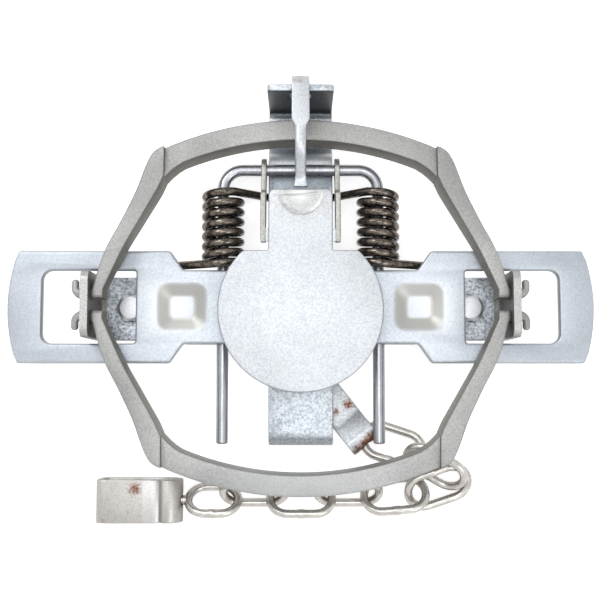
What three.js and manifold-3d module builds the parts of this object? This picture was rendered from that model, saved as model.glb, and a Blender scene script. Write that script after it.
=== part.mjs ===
// Offset jaw foothold trap with two coil springs, shown set, lying on the ground.
// Millimetres. +X runs to the right along the two levers, +Y runs to the dog, +Z is up.
// The origin is on the ground, at the middle of the lower head of the centre rivet.

import * as THREE from 'three';
import { mergeVertices } from 'three/addons/utils/BufferGeometryUtils.js';
import Module from 'manifold-3d';

const wasm = await Module();
wasm.setup();

// Fits that several pieces share
const seatGap = 0.3;
const holeClearance = 0.6;
const cutOverrun = 2;

// Jaw posts, bent from strip, each with a foot under an end of the base plate. The distance over
// the posts drives every size along X that has to match it
const postSpan = 172;
const postSideMargin = 0.25;
const postThickness = 3;
const postTopAboveBase = 25;
const postCornerRadius = 3.8;
const footLength = 23;

// Base plate, which runs along X
const baseInset = 5.9;
const baseWidth = 25.6;
const baseThickness = 3;

// Bolts and nuts that hold the posts
const boltInset = 16.3;
const boltDiameter = 6.35;
const boltHeadAcrossFlats = 11.1;
const boltHeadHeight = 4;
const nutHeight = 4.3;

// Cross member, which runs along Y and ends in the dog post
const crossWidth = 26.8;
const crossThickness = 3;
const dogPostOuterY = 88;
const dogPostTopZ = 33.6;
const crossRiseStartY = 68.5;
const crossRiseEndY = 63.7;
const crossFallStartY = 43;
const crossFallEndY = 34;
const crossFrontY = -56.6;
const dogSlotWidth = 9.6;
const dogSlotDepth = 8.2;
const dogBarHeight = 4.5;

// Rivets
const rivetShankDiameter = 8;
const rivetHeadDiameter = 14;
const rivetHeadHeight = 2;
const swivelRivetY = -21.5;
const swivelShankDiameter = 6;
const swivelHeadDiameter = 11;
const swivelHeadHeight = 1.3;

// Spring rod, bent to a U, that carries the springs, the levers and the pan
const rodDiameter = 4.8;
const rodLegSpan = 64;
const rodCrossY = 57.4;
const rodBendRadius = 8;
const rodEndY = -55.5;
const rodSides = 10;
const rodBendSteps = 5;

// Coil springs
const springWire = 3.6;
const springOuterDiameter = 18;
const springPitch = 4.15;
const springCurls = 7;
const springFirstY = 17.6;
const curlSteps = 8;
const springSides = 5;
const leverLegAngle = THREE.MathUtils.degToRad(27.2);
const leverLegReach = 19.5;
const frameLegAngle = THREE.MathUtils.degToRad(43.6);
const frameLegReach = 21.2;

// Levers, whose windows go round the posts
const leverOverhang = 33.4;
const leverEndBow = 3.9;
const leverEndBand = 14.3;
const leverHalfWidth = 23;
const leverSideBand = 8.1;
const leverShoulderRun = 5.5;
const leverNeckHalfWidth = 15.1;
const leverEndMargin = 4.5;
const leverThickness = 3;
const leverEdgeBevel = 0.8;
const leverAboveRod = 2.5;
const leverFlangeThickness = 1.5;
const leverFlangeDrop = 4.5;
const leverNeckRun = 15.7;
const windowInside = 19;
const windowCornerRadius = 4;
const dimpleInset = 37.7;
const dimpleLength = 21.6;
const dimpleWidth = 20.8;
const dimpleFloorLength = 9.8;
const dimpleFloorWidth = 8.2;
const dimpleDepth = 2.4;
const dimpleBulge = 2;

// Jaws, cast, with the bar set back from the face of the arms. The insets are from the outside
// of the posts
const pivotOffset = 4.6;
const pivotZ = 27.5;
const jawDroop = THREE.MathUtils.degToRad(3);
const jawMeetGap = 0.3;
const jawOffset = 3;
const jawBottom = -9.8;
const jawEyeBottom = -4.2;
const jawTaperStart = 3;
const jawCornerInset = 31;
const jawCornerDepth = 12.4;
const barOuterRadius = 134;
const barWidth = 8.5;
const barOuterMiddle = 71.3;
const barFilletRun = 8;
const jawChamfer = 0.7;
const jawDraft = 1;
const stepThickness = 0.1;
const trunnionDiameter = 4.8;
const trunnionClearance = 0.8;
const hookOverhang = 4.6;
const hookThickness = 3.2;
const hookLength = 8;
const hookHeight = 4.4;
const armSideGap = 0.4;
const armEyeWidth = 5.1;
const armEyeStart = -2.2;
const armEyeRound = 1.5;
const armEyeEnd = 1;
const armElbowInset = 8.3;
const armElbowWidth = 7.6;
const armElbowAlong = 16.7;
const armMiddleInset = 19.7;
const armMiddleWidth = 7.9;
const armMiddleAlong = 40.9;

// Dog: a strip that lies level over the jaw and comes down to the pan
const dogWidth = 7.2;
const dogStemWidth = 4.8;
const dogRingInner = 3.1;
const dogStripThickness = 2.1;
const dogTaperStartY = 73.8;
const dogTaperEndY = 70.2;
const dogBendY = 61.2;
const dogTipStartY = 51;
const dogTipY = 47.6;
const dogTipDrop = 7.9;

// Pan
const panDiameter = 66.4;
const panCenterY = -1.6;
const panThickness = 2;
const panAboveRod = 11.6;
const panTopCutY = 22.1;
const panShankWidth = 25.9;
const panShankEndY = 47;
const panShankCorner = 3;
const panHollowRadius = 9.2;
const panHollowDepth = 0.8;
const earThickness = 2.2;
const earGap = 1.05;
const earLugRadius = 4.9;
const earRootY = 25.6;
const earRootDrop = 3.4;
const earWebEndY = 45;
const earWebStep = 0.4;
const earNeckY = 48;
const earNeckRise = 1.1;
const earNeckDepth = 5.2;

// Swivel tab under the cross member, cranked up past it and turned down at its end
const tabAngle = THREE.MathUtils.degToRad(-51.8);
const tabWidth = 13.2;
const tabThickness = 2.4;
const tabLength = 44.5;
const tabTail = 6.3;
const tabCrankStart = 31;
const tabCrankEnd = 36;
const tabCrankRise = 5.2;
const tabHoleZ = 5.2;
const tabHoleDiameter = 7.4;

// Chain
const chainWire = 3.5;
const linkLength = 29;
const linkWidth = 17.5;
const linkSides = 8;
const linkBendSteps = 6;
const eyeRoll = -45;

// Where the first four links lie, then the row that the others lie in
const firstLinkX = 38.5;
const firstLinkY = -56.4;
const secondLinkX = 55.5;
const secondLinkY = -65.1;
const thirdLinkX = 56.9;
const thirdLinkY = -73.5;
const fourthLinkX = 38.9;
const fourthLinkY = -76.7;
const rowFirstX = 19.5;
const rowPitch = 19.3;
const rowY = -75.4;
const rowSwing = 2.9;
const eyeSwing = 3.3;
const rowLinks = 3;
const linkHeadings = [-18, -30, 18.4, 4.6, 0, 0, 0];
const linkRolls = [-22, 46, 21, -31, 46, -36, 46];

// End swivel: an eye with a headed shank, in a strap bent to a loop
const eyeLength = 24;
const eyeShankDiameter = 4;
const eyeShankLength = 9;
const eyeHeadDiameter = 8;
const eyeHeadHeight = 2.4;
const strapLength = 35;
const strapHeight = 13.4;
const strapWidth = 17.6;
const strapThickness = 2.4;
const strapCornerRadius = 3;
const strapHoleDiameter = 5.2;

// Places along X worked out from the posts and the rod
const postReach = postSpan / 2;
const postWidth = baseWidth + 2 * postSideMargin;
const baseLength = postSpan - 2 * baseInset;
const boltReach = postReach - boltInset;
const leverHalfSpan = postReach + leverOverhang;
const leverCornerReach = leverHalfSpan - leverEndBow;
const windowOuterReach = leverHalfSpan - leverEndBand;
const windowInnerReach = postReach - windowInside;
const windowHalfWidth = leverHalfWidth - leverSideBand;
const leverEndReach = rodLegSpan / 2 - leverEndMargin;
const leverNeckReach = rodLegSpan / 2 + leverNeckRun;
const leverShoulderReach = leverNeckReach + leverShoulderRun;
const dimpleReach = postReach - dimpleInset;
const jawCornerReach = postReach - jawCornerInset;
const barFilletReach = jawCornerReach - barFilletRun;
const armEyeOuter = postReach - postThickness - armSideGap;
const armElbowOuter = postReach - armElbowInset;
const armMiddleOuter = postReach - armMiddleInset;
const hookReach = postReach + hookOverhang;

// Heights worked out from the stack, from the ground up
const lowerLevel = nutHeight + seatGap;
const baseBottom = lowerLevel + crossThickness + seatGap;
const baseTop = baseBottom + baseThickness;
const rodZ = baseTop + seatGap + rodDiameter / 2;
const leverBottom = rodZ + leverAboveRod;
const leverTop = leverBottom + leverThickness;
const panBottom = rodZ + panAboveRod;
const panTop = panBottom + panThickness;
const postTop = baseTop + postTopAboveBase;
const armFace = pivotOffset - jawMeetGap / 2;
const barFace = armFace - jawOffset;
const dogPostY = dogPostOuterY - crossThickness / 2;
const dogPivotZ = dogPostTopZ - dogBarHeight / 2;

// Materials
const zincSteel = new THREE.MeshStandardMaterial({ color: 0xc9ccd2, roughness: 0.5, metalness: 0.6 });
const darkSteel = new THREE.MeshStandardMaterial({ color: 0x8b9097, roughness: 0.55, metalness: 0.6 });
const castIron = new THREE.MeshStandardMaterial({ color: 0xa9aaa8, roughness: 0.65, metalness: 0.5 });
const springSteel = new THREE.MeshStandardMaterial({ color: 0x5c5347, roughness: 0.45, metalness: 0.6 });
const brightSteel = new THREE.MeshStandardMaterial({ color: 0xb9bbbf, roughness: 0.3, metalness: 0.8 });

// Helpers

// A closed skin over rings of equal count, capped at both ends unless it closes on itself
function skin(rings, closed = false) {
  const sides = rings[0].length;
  const positions = rings.flat().flatMap((p) => [p.x, p.y, p.z]);
  const index = [];
  const last = closed ? rings.length : rings.length - 1;
  for (let i = 0; i < last; i++) {
    const here = i * sides;
    const next = ((i + 1) % rings.length) * sides;
    for (let j = 0; j < sides; j++) {
      const k = (j + 1) % sides;
      index.push(here + j, here + k, next + k, here + j, next + k, next + j);
    }
  }
  if (!closed) {
    const end = (rings.length - 1) * sides;
    for (let j = 1; j < sides - 1; j++) {
      index.push(0, j + 1, j);
      index.push(end, end + j, end + j + 1);
    }
  }
  const geometry = new THREE.BufferGeometry();
  geometry.setAttribute('position', new THREE.Float32BufferAttribute(positions, 3));
  geometry.setIndex(index);
  return facingOut(geometry);
}

// Six times the volume that a geometry's faces enclose, negative when they point inward
function signedVolume(geometry) {
  const p = geometry.attributes.position;
  const index = geometry.index.array;
  const [a, b, c] = [new THREE.Vector3(), new THREE.Vector3(), new THREE.Vector3()];
  let sum = 0;
  for (let i = 0; i < index.length; i += 3) {
    a.fromBufferAttribute(p, index[i]);
    b.fromBufferAttribute(p, index[i + 1]);
    c.fromBufferAttribute(p, index[i + 2]);
    sum += a.dot(b.clone().cross(c));
  }
  return sum;
}

function facingOut(geometry) {
  if (signedVolume(geometry) < 0) {
    const index = geometry.index.array;
    for (let i = 0; i < index.length; i += 3) {
      [index[i + 1], index[i + 2]] = [index[i + 2], index[i + 1]];
    }
  }
  return geometry;
}

function toSolid(geometry) {
  const bare = geometry.clone();
  bare.deleteAttribute('normal');
  bare.deleteAttribute('uv');
  const merged = facingOut(mergeVertices(bare, seatGap / 1000));
  return new wasm.Manifold(new wasm.Mesh({
    numProp: 3,
    vertProperties: new Float32Array(merged.attributes.position.array),
    triVerts: new Uint32Array(merged.index.array),
  }));
}

function fromSolid(solid) {
  const mesh = solid.getMesh();
  const geometry = new THREE.BufferGeometry();
  geometry.setAttribute('position', new THREE.BufferAttribute(mesh.vertProperties, 3));
  geometry.setIndex(new THREE.BufferAttribute(mesh.triVerts, 1));
  return geometry;
}

// Joins the first list of geometries, then cuts the second list away
function build(joined, cut = []) {
  let solid = toSolid(joined[0]);
  for (const piece of joined.slice(1)) {
    solid = solid.add(toSolid(piece));
  }
  for (const piece of cut) {
    solid = solid.subtract(toSolid(piece));
  }
  return fromSolid(solid);
}

function box(x0, x1, y0, y1, z0, z1) {
  const geometry = new THREE.BoxGeometry(x1 - x0, y1 - y0, z1 - z0);
  return geometry.translate((x0 + x1) / 2, (y0 + y1) / 2, (z0 + z1) / 2);
}

// A shape in X and Y, raised from z0 to z1
function plate(shape, z0, z1, curveSegments = 6) {
  const geometry = new THREE.ExtrudeGeometry(shape, { depth: z1 - z0, bevelEnabled: false, curveSegments });
  return geometry.translate(0, 0, z0);
}

// A shape drawn in Y and Z, drawn out along X from x0 to x1
function alongX(shape, x0, x1, curveSegments = 6) {
  const geometry = new THREE.ExtrudeGeometry(shape, { depth: x1 - x0, bevelEnabled: false, curveSegments });
  const turn = new THREE.Matrix4().set(0, 0, 1, x0, 1, 0, 0, 0, 0, 1, 0, 0, 0, 0, 0, 1);
  return geometry.applyMatrix4(turn);
}

// A shape drawn in X and Z, drawn out along Y on both sides of zero
function alongY(shape, width, curveSegments = 6) {
  const geometry = new THREE.ExtrudeGeometry(shape, { depth: width, bevelEnabled: false, curveSegments });
  const turn = new THREE.Matrix4().set(1, 0, 0, 0, 0, 0, -1, width / 2, 0, 1, 0, 0, 0, 0, 0, 1);
  return geometry.applyMatrix4(turn);
}

function polygon(points) {
  return new THREE.Shape(points.map(([x, y]) => new THREE.Vector2(x, y)));
}

function rectangle(x0, x1, y0, y1) {
  return polygon([[x0, y0], [x1, y0], [x1, y1], [x0, y1]]);
}

function circleHole(x, y, diameter) {
  const hole = new THREE.Path();
  hole.absarc(x, y, diameter / 2, 0, 2 * Math.PI, true);
  return hole;
}

// A cylinder between two heights, or a hexagon with its flats across Y
function post(x, y, diameter, z0, z1, sides = 12) {
  const geometry = new THREE.CylinderGeometry(diameter / 2, diameter / 2, z1 - z0, sides);
  return geometry.rotateX(Math.PI / 2).translate(x, y, (z0 + z1) / 2);
}

function hexagon(x, y, acrossFlats, z0, z1) {
  const geometry = post(0, 0, acrossFlats / Math.cos(Math.PI / 6), z0, z1, 6);
  return geometry.rotateZ(Math.PI / 6).translate(x, y, 0);
}

// A pin along X between two reaches
function pinX(x0, x1, y, z, diameter, sides = 12) {
  const geometry = new THREE.CylinderGeometry(diameter / 2, diameter / 2, x1 - x0, sides);
  return geometry.rotateZ(Math.PI / 2).translate((x0 + x1) / 2, y, z);
}

// A pin along Y between two places
function pinY(x, y0, y1, z, diameter, sides = 12) {
  const geometry = new THREE.CylinderGeometry(diameter / 2, diameter / 2, y1 - y0, sides);
  return geometry.translate(x, (y0 + y1) / 2, z);
}

// The outline of a bent strip: its middle line, thickened to both sides with mitred bends
function stripShape(line, thickness) {
  const points = line.map(([x, y]) => new THREE.Vector2(x, y));
  const left = [];
  const right = [];
  points.forEach((p, i) => {
    const before = points[Math.max(i - 1, 0)];
    const after = points[Math.min(i + 1, points.length - 1)];
    const d0 = p.clone().sub(before);
    const d1 = after.clone().sub(p);
    const n0 = (i === 0 ? d1 : d0).clone().normalize();
    const n1 = (i === points.length - 1 ? d0 : d1).clone().normalize();
    const normal = new THREE.Vector2(-n0.y - n1.y, n0.x + n1.x).normalize();
    const reach = thickness / 2 / normal.dot(new THREE.Vector2(-n0.y, n0.x));
    left.push(p.clone().addScaledVector(normal, reach));
    right.unshift(p.clone().addScaledVector(normal, -reach));
  });
  return new THREE.Shape([...left, ...right]);
}

// Rings of a round wire along a line of points, turned from ring to ring without twist
function wireRings(points, diameter, sides, closed = false) {
  const count = points.length;
  const tangents = points.map((p, i) => {
    const before = closed ? points[(i + count - 1) % count] : points[Math.max(i - 1, 0)];
    const after = closed ? points[(i + 1) % count] : points[Math.min(i + 1, count - 1)];
    const into = p.clone().sub(before).normalize();
    const out = after.clone().sub(p).normalize();
    return into.add(out).normalize();
  });
  let side = new THREE.Vector3(0, 0, 1).cross(tangents[0]);
  if (side.length() < seatGap) side = new THREE.Vector3(1, 0, 0).cross(tangents[0]);
  side.normalize();
  return points.map((p, i) => {
    side.addScaledVector(tangents[i], -side.dot(tangents[i])).normalize();
    const up = tangents[i].clone().cross(side);
    const ring = [];
    for (let j = 0; j < sides; j++) {
      const angle = (2 * Math.PI * (j + 0.5)) / sides;
      ring.push(p.clone()
        .addScaledVector(side, (diameter / 2) * Math.cos(angle))
        .addScaledVector(up, (diameter / 2) * Math.sin(angle)));
    }
    return ring;
  });
}

function mirrored(geometry, side) {
  if (side > 0) return geometry;
  const copy = mergeVertices(geometry.clone().scale(-1, 1, 1));
  return facingOut(copy);
}

const trap = new THREE.Group();

function addPiece(name, geometry, material) {
  const clean = geometry.index ? geometry : mergeVertices(geometry);
  clean.deleteAttribute('normal');
  clean.deleteAttribute('uv');
  const piece = new THREE.Mesh(clean, material);
  piece.name = name;
  trap.add(piece);
  return piece;
}

// Base plate
function basePlate() {
  const shape = rectangle(-baseLength / 2, baseLength / 2, -baseWidth / 2, baseWidth / 2);
  shape.holes.push(circleHole(0, 0, rivetShankDiameter + holeClearance));
  for (const side of [-1, 1]) {
    shape.holes.push(circleHole(side * boltReach, 0, boltDiameter + holeClearance));
  }
  return plate(shape, baseBottom, baseTop);
}

// Jaw post with its foot
function jawPost(side) {
  const outer = postReach;
  const inner = outer - postThickness;
  const half = postWidth / 2;
  const r = postCornerRadius;
  const upright = new THREE.Shape();
  upright.moveTo(-half, lowerLevel);
  upright.lineTo(half, lowerLevel);
  upright.lineTo(half, postTop - r);
  upright.absarc(half - r, postTop - r, r, 0, Math.PI / 2, false);
  upright.lineTo(r - half, postTop);
  upright.absarc(r - half, postTop - r, r, Math.PI / 2, Math.PI, false);
  upright.lineTo(-half, lowerLevel);
  const bore = trunnionDiameter + trunnionClearance;
  upright.holes.push(circleHole(pivotOffset, pivotZ, bore));
  upright.holes.push(circleHole(-pivotOffset, pivotZ, bore));
  const foot = rectangle(outer - footLength, outer - postThickness / 2, -half, half);
  foot.holes.push(circleHole(boltReach, 0, boltDiameter + holeClearance));
  const joined = build([
    alongX(upright, inner, outer, 4),
    plate(foot, lowerLevel, lowerLevel + crossThickness),
  ]);
  return mirrored(joined, side);
}

function postBolt(side) {
  const x = side * boltReach;
  const headBottom = baseTop + seatGap;
  return build([
    hexagon(x, 0, boltHeadAcrossFlats, headBottom, headBottom + boltHeadHeight),
    post(x, 0, boltDiameter, seatGap, headBottom + seatGap),
  ]);
}

function postNut(side) {
  const x = side * boltReach;
  const bore = post(x, 0, boltDiameter + holeClearance, -cutOverrun, nutHeight + cutOverrun);
  return build([hexagon(x, 0, boltHeadAcrossFlats, 0, nutHeight)], [bore]);
}

// Cross member: the front foot, the run under the base plate, the hump under the spring rod
// and the upright dog post, all one bent strip
function crossMember() {
  const half = crossThickness / 2;
  const low = lowerLevel + half;
  const high = baseTop - half;
  const front = crossFrontY + half;
  const line = [
    [front, 0],
    [front, low],
    [crossFallEndY, low],
    [crossFallStartY, high],
    [crossRiseEndY, high],
    [crossRiseStartY, half],
    [dogPostY, half],
    [dogPostY, dogPostTopZ],
  ];
  const strip = alongX(stripShape(line, crossThickness), -crossWidth / 2, crossWidth / 2);
  const slot = box(
    -dogSlotWidth / 2, dogSlotWidth / 2,
    dogPostY - cutOverrun, dogPostY + cutOverrun,
    dogPivotZ - dogSlotDepth, dogPostTopZ - dogBarHeight,
  );
  const under = lowerLevel - cutOverrun;
  const over = baseBottom + cutOverrun;
  const hole = post(0, 0, rivetShankDiameter + holeClearance, under, over);
  const swivelHole = post(0, swivelRivetY, swivelShankDiameter + holeClearance, under, over);
  return build([strip], [slot, hole, swivelHole]);
}

function centreRivet() {
  const head = baseTop + seatGap;
  return build([
    post(0, 0, rivetHeadDiameter, 0, nutHeight, 16),
    post(0, 0, rivetShankDiameter, nutHeight / 2, head + rivetHeadHeight / 2),
    post(0, 0, rivetHeadDiameter, head, head + rivetHeadHeight, 16),
  ]);
}

function swivelRivet() {
  const tabTop = lowerLevel - seatGap;
  const headTop = tabTop - tabThickness - seatGap;
  const upper = lowerLevel + crossThickness + seatGap;
  const half = swivelHeadHeight / 2;
  return build([
    post(0, swivelRivetY, swivelHeadDiameter, headTop - swivelHeadHeight, headTop, 16),
    post(0, swivelRivetY, swivelShankDiameter, headTop - half, upper + half),
    post(0, swivelRivetY, swivelHeadDiameter, upper, upper + swivelHeadHeight, 16),
  ]);
}

// Spring rod
function springRod() {
  const leg = rodLegSpan / 2;
  const bend = rodCrossY - rodBendRadius;
  const half = [];
  for (let i = 0; i <= rodBendSteps; i++) {
    const angle = (Math.PI / 2) * (i / rodBendSteps);
    const x = leg - rodBendRadius + rodBendRadius * Math.cos(angle);
    half.push(new THREE.Vector3(x, bend + rodBendRadius * Math.sin(angle), rodZ));
  }
  const right = [new THREE.Vector3(leg, rodEndY, rodZ), ...half];
  const left = right.map((p) => new THREE.Vector3(-p.x, p.y, p.z)).reverse();
  return skin(wireRings([...right, ...left], rodDiameter, rodSides));
}

// The middle line of one coil spring, drawn for the right side: the lever leg comes in from
// outside and climbs to the coil, the curls wind along the rod, and the frame leg dives inward
function springLine() {
  const radius = (springOuterDiameter - springWire) / 2;
  const centre = rodLegSpan / 2;
  const points = [];
  const lineEnd = (angle, reach, y, sign) => {
    const x = centre + sign * radius * Math.sin(angle);
    const z = rodZ + radius * Math.cos(angle);
    const run = reach - radius * Math.sin(angle);
    return [
      new THREE.Vector3(x + sign * run, y, z - run * Math.tan(angle)),
      new THREE.Vector3(x, y, z),
    ];
  };
  const [leverTip] = lineEnd(leverLegAngle, leverLegReach, springFirstY, 1);
  points.push(leverTip);
  const total = springCurls * 2 * Math.PI + frameLegAngle + leverLegAngle;
  const steps = Math.round((total / (2 * Math.PI)) * curlSteps);
  for (let i = 0; i <= steps; i++) {
    const turned = (total * i) / steps;
    const angle = leverLegAngle - turned;
    const wound = turned / (2 * Math.PI);
    points.push(new THREE.Vector3(
      centre + radius * Math.sin(angle),
      springFirstY + springPitch * wound,
      rodZ + radius * Math.cos(angle),
    ));
  }
  const lastY = springFirstY + (springPitch * total) / (2 * Math.PI);
  const [frameTip] = lineEnd(frameLegAngle, frameLegReach, lastY, -1);
  points.push(frameTip);
  return points;
}

// The least distance between parts of the wire that aren't next to each other along it
function leastGap(points, diameter) {
  const path = new THREE.CurvePath();
  for (let i = 1; i < points.length; i++) {
    path.add(new THREE.LineCurve3(points[i - 1], points[i]));
  }
  const length = path.getLength();
  const samples = path.getSpacedPoints(Math.ceil(length / (diameter / 4)));
  const step = length / (samples.length - 1);
  let least = Infinity;
  for (let i = 0; i < samples.length; i++) {
    for (let j = i + 1; j < samples.length; j++) {
      if ((j - i) * step > 2 * diameter * Math.PI) {
        least = Math.min(least, samples[i].distanceTo(samples[j]) - diameter);
      }
    }
  }
  return least;
}

// Lever, drawn for the right side
function lever() {
  const bevel = leverEdgeBevel;
  const inset = (value) => value - bevel;
  const shape = new THREE.Shape();
  const corner = inset(leverCornerReach);
  const wide = inset(leverHalfWidth);
  const neck = inset(leverNeckHalfWidth);
  shape.moveTo(leverEndReach + bevel, -neck);
  shape.lineTo(leverNeckReach + bevel, -neck);
  shape.lineTo(leverShoulderReach + bevel, -wide);
  shape.lineTo(corner, -wide);
  shape.quadraticCurveTo(2 * inset(leverHalfSpan) - corner, 0, corner, wide);
  shape.lineTo(leverShoulderReach + bevel, wide);
  shape.lineTo(leverNeckReach + bevel, neck);
  shape.lineTo(leverEndReach + bevel, neck);
  const r = windowCornerRadius;
  const hole = new THREE.Path();
  const left = windowInnerReach - bevel;
  const right = windowOuterReach + bevel;
  const half = windowHalfWidth + bevel;
  hole.moveTo(left, -half);
  hole.lineTo(left, half);
  hole.lineTo(right - r, half);
  hole.absarc(right - r, half - r, r, Math.PI / 2, 0, true);
  hole.lineTo(right, r - half);
  hole.absarc(right - r, r - half, r, 0, -Math.PI / 2, true);
  hole.lineTo(left, -half);
  shape.holes.push(hole);
  const sheet = new THREE.ExtrudeGeometry(shape, {
    depth: leverThickness - 2 * bevel,
    bevelEnabled: true,
    bevelThickness: bevel,
    bevelSize: bevel,
    bevelSegments: 1,
    curveSegments: 6,
  }).translate(0, 0, leverBottom + bevel);
  const flanges = [-1, 1].map((way) => {
    const outer = way * leverNeckHalfWidth;
    const inner = way * (leverNeckHalfWidth - leverFlangeThickness);
    return box(
      leverEndReach, leverNeckReach, Math.min(inner, outer), Math.max(inner, outer),
      rodZ - leverFlangeDrop, leverTop - bevel,
    );
  });
  const bulge = dimple(leverBottom - dimpleBulge, leverBottom + seatGap, dimpleBulge / 2);
  const recess = dimple(leverTop - dimpleDepth, leverTop + seatGap, 0);
  const bore = pinY(
    rodLegSpan / 2, -leverHalfWidth, leverHalfWidth, rodZ, rodDiameter + holeClearance, rodSides,
  );
  return build([sheet, ...flanges, bulge], [recess, bore]);
}

// A stamped hollow with sloping sides: a square dish from a floor height to a rim height
function dimple(floorZ, rimZ, grow) {
  const slopeLength = (dimpleLength - dimpleFloorLength) / 2;
  const slopeWidth = (dimpleWidth - dimpleFloorWidth) / 2;
  const rise = (rimZ - floorZ) / dimpleDepth;
  const ring = (halfLength, halfWidth, z) => [
    new THREE.Vector3(dimpleReach - halfLength, -halfWidth, z),
    new THREE.Vector3(dimpleReach + halfLength, -halfWidth, z),
    new THREE.Vector3(dimpleReach + halfLength, halfWidth, z),
    new THREE.Vector3(dimpleReach - halfLength, halfWidth, z),
  ];
  const floorHalfLength = dimpleFloorLength / 2 + grow;
  const floorHalfWidth = dimpleFloorWidth / 2 + grow;
  return skin([
    ring(floorHalfLength, floorHalfWidth, floorZ),
    ring(floorHalfLength + slopeLength * rise, floorHalfWidth + slopeWidth * rise, rimZ),
  ]);
}

// Jaw, drawn flat with its pivot axis along X through the origin and its bar towards +Y
function jaw() {
  const barInnerRadius = barOuterRadius - barWidth;
  const barCentre = barOuterMiddle - barOuterRadius;
  const onArc = (radius, reach) => barCentre + Math.sqrt(radius ** 2 - reach ** 2);
  const cornerOuter = onArc(barOuterRadius, jawCornerReach);
  const cornerInner = cornerOuter - jawCornerDepth;
  const bottomAt = (along) => {
    const share = (along - jawTaperStart) / (cornerInner - jawTaperStart);
    return THREE.MathUtils.lerp(jawEyeBottom, jawBottom, THREE.MathUtils.clamp(share, 0, 1));
  };
  const section = (outer, inner, top, bottom) => {
    const across = inner.clone().sub(outer).normalize();
    const at = (from, shift, z) => {
      const p = from.clone().addScaledVector(across, shift);
      return new THREE.Vector3(p.x, p.y, z);
    };
    const c = jawChamfer;
    return [
      at(outer, c, top), at(inner, -c, top), at(inner, 0, top - c),
      at(inner, jawDraft, bottom + c), at(inner, jawDraft - c, bottom),
      at(outer, c, bottom), at(outer, 0, bottom + c), at(outer, 0, top - c),
    ];
  };
  const arm = [
    [armEyeOuter, armEyeWidth, armEyeStart, armFace - armEyeRound],
    [armEyeOuter, armEyeWidth, armEyeStart + armEyeRound, armFace],
    [armEyeOuter, armEyeWidth, armEyeEnd, armFace],
    [armElbowOuter, armElbowWidth, armElbowAlong, armFace],
    [armMiddleOuter, armMiddleWidth, armMiddleAlong, armFace],
  ];
  const half = arm.map(([outer, width, along, top]) => section(
    new THREE.Vector2(outer, along),
    new THREE.Vector2(outer - width, along),
    top,
    bottomAt(along),
  ));
  const corner = new THREE.Vector2(jawCornerReach, cornerOuter);
  const crook = new THREE.Vector2(jawCornerReach, cornerInner);
  half.push(section(corner, crook, armFace, jawBottom));
  const back = new THREE.Vector2(stepThickness, 0);
  half.push(section(corner.clone().sub(back), crook.clone().sub(back), barFace, jawBottom));
  const barReachShares = [1, 0.78, 0.52, 0.26, 0];
  for (const share of barReachShares) {
    const reach = barFilletReach * share;
    half.push(section(
      new THREE.Vector2(reach, onArc(barOuterRadius, reach)),
      new THREE.Vector2(reach, onArc(barInnerRadius, reach)),
      barFace,
      jawBottom,
    ));
  }
  const otherHalf = half.slice(0, -1).reverse().map((ring) => ring.map((p) => {
    return new THREE.Vector3(-p.x, p.y, p.z);
  }));
  const casting = skin([...half, ...otherHalf]);
  const pins = [];
  for (const side of [-1, 1]) {
    const inside = armEyeOuter - postThickness;
    const pin = pinX(inside, hookReach - hookThickness / 2, 0, 0, trunnionDiameter);
    const hook = box(
      hookReach - hookThickness, hookReach,
      -trunnionDiameter / 2, hookLength - trunnionDiameter / 2,
      -hookHeight / 2, hookHeight / 2,
    );
    pins.push(mirrored(pin, side), mirrored(hook, side));
  }
  return build([casting, ...pins]);
}

// Dog: a strip with a ring at its back end, round the bar at the top of the dog post. It lies
// clear over the upper jaw, far enough for the jaw to rise under it as both turn
function dog() {
  const ringOuter = dogRingInner + dogStripThickness;
  const level = dogPivotZ + dogRingInner + dogStripThickness / 2;
  const ring = new THREE.Shape();
  ring.absarc(dogPostY, dogPivotZ, ringOuter, 0, 2 * Math.PI, false);
  ring.holes.push(circleHole(dogPostY, dogPivotZ, 2 * dogRingInner));
  const arm = stripShape([
    [dogPostY, level],
    [dogBendY, level],
    [dogTipStartY, level - dogTipDrop],
    [dogTipY, level - dogTipDrop],
  ], dogStripThickness);
  const half = dogWidth / 2;
  const body = toSolid(alongX(ring, -half, half, 8)).add(toSolid(alongX(arm, -half, half)));
  const stem = dogStemWidth / 2;
  const backY = dogPostY + ringOuter + cutOverrun;
  const frontY = dogTipY - cutOverrun;
  const outline = polygon([
    [-half, backY], [-half, dogTaperStartY], [-stem, dogTaperEndY], [-stem, frontY],
    [stem, frontY], [stem, dogTaperEndY], [half, dogTaperStartY], [half, backY],
  ]);
  const maskBottom = level - dogTipDrop - dogStripThickness - cutOverrun;
  const mask = toSolid(plate(outline, maskBottom, level + dogStripThickness + cutOverrun));
  return fromSolid(body.intersect(mask));
}

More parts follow.
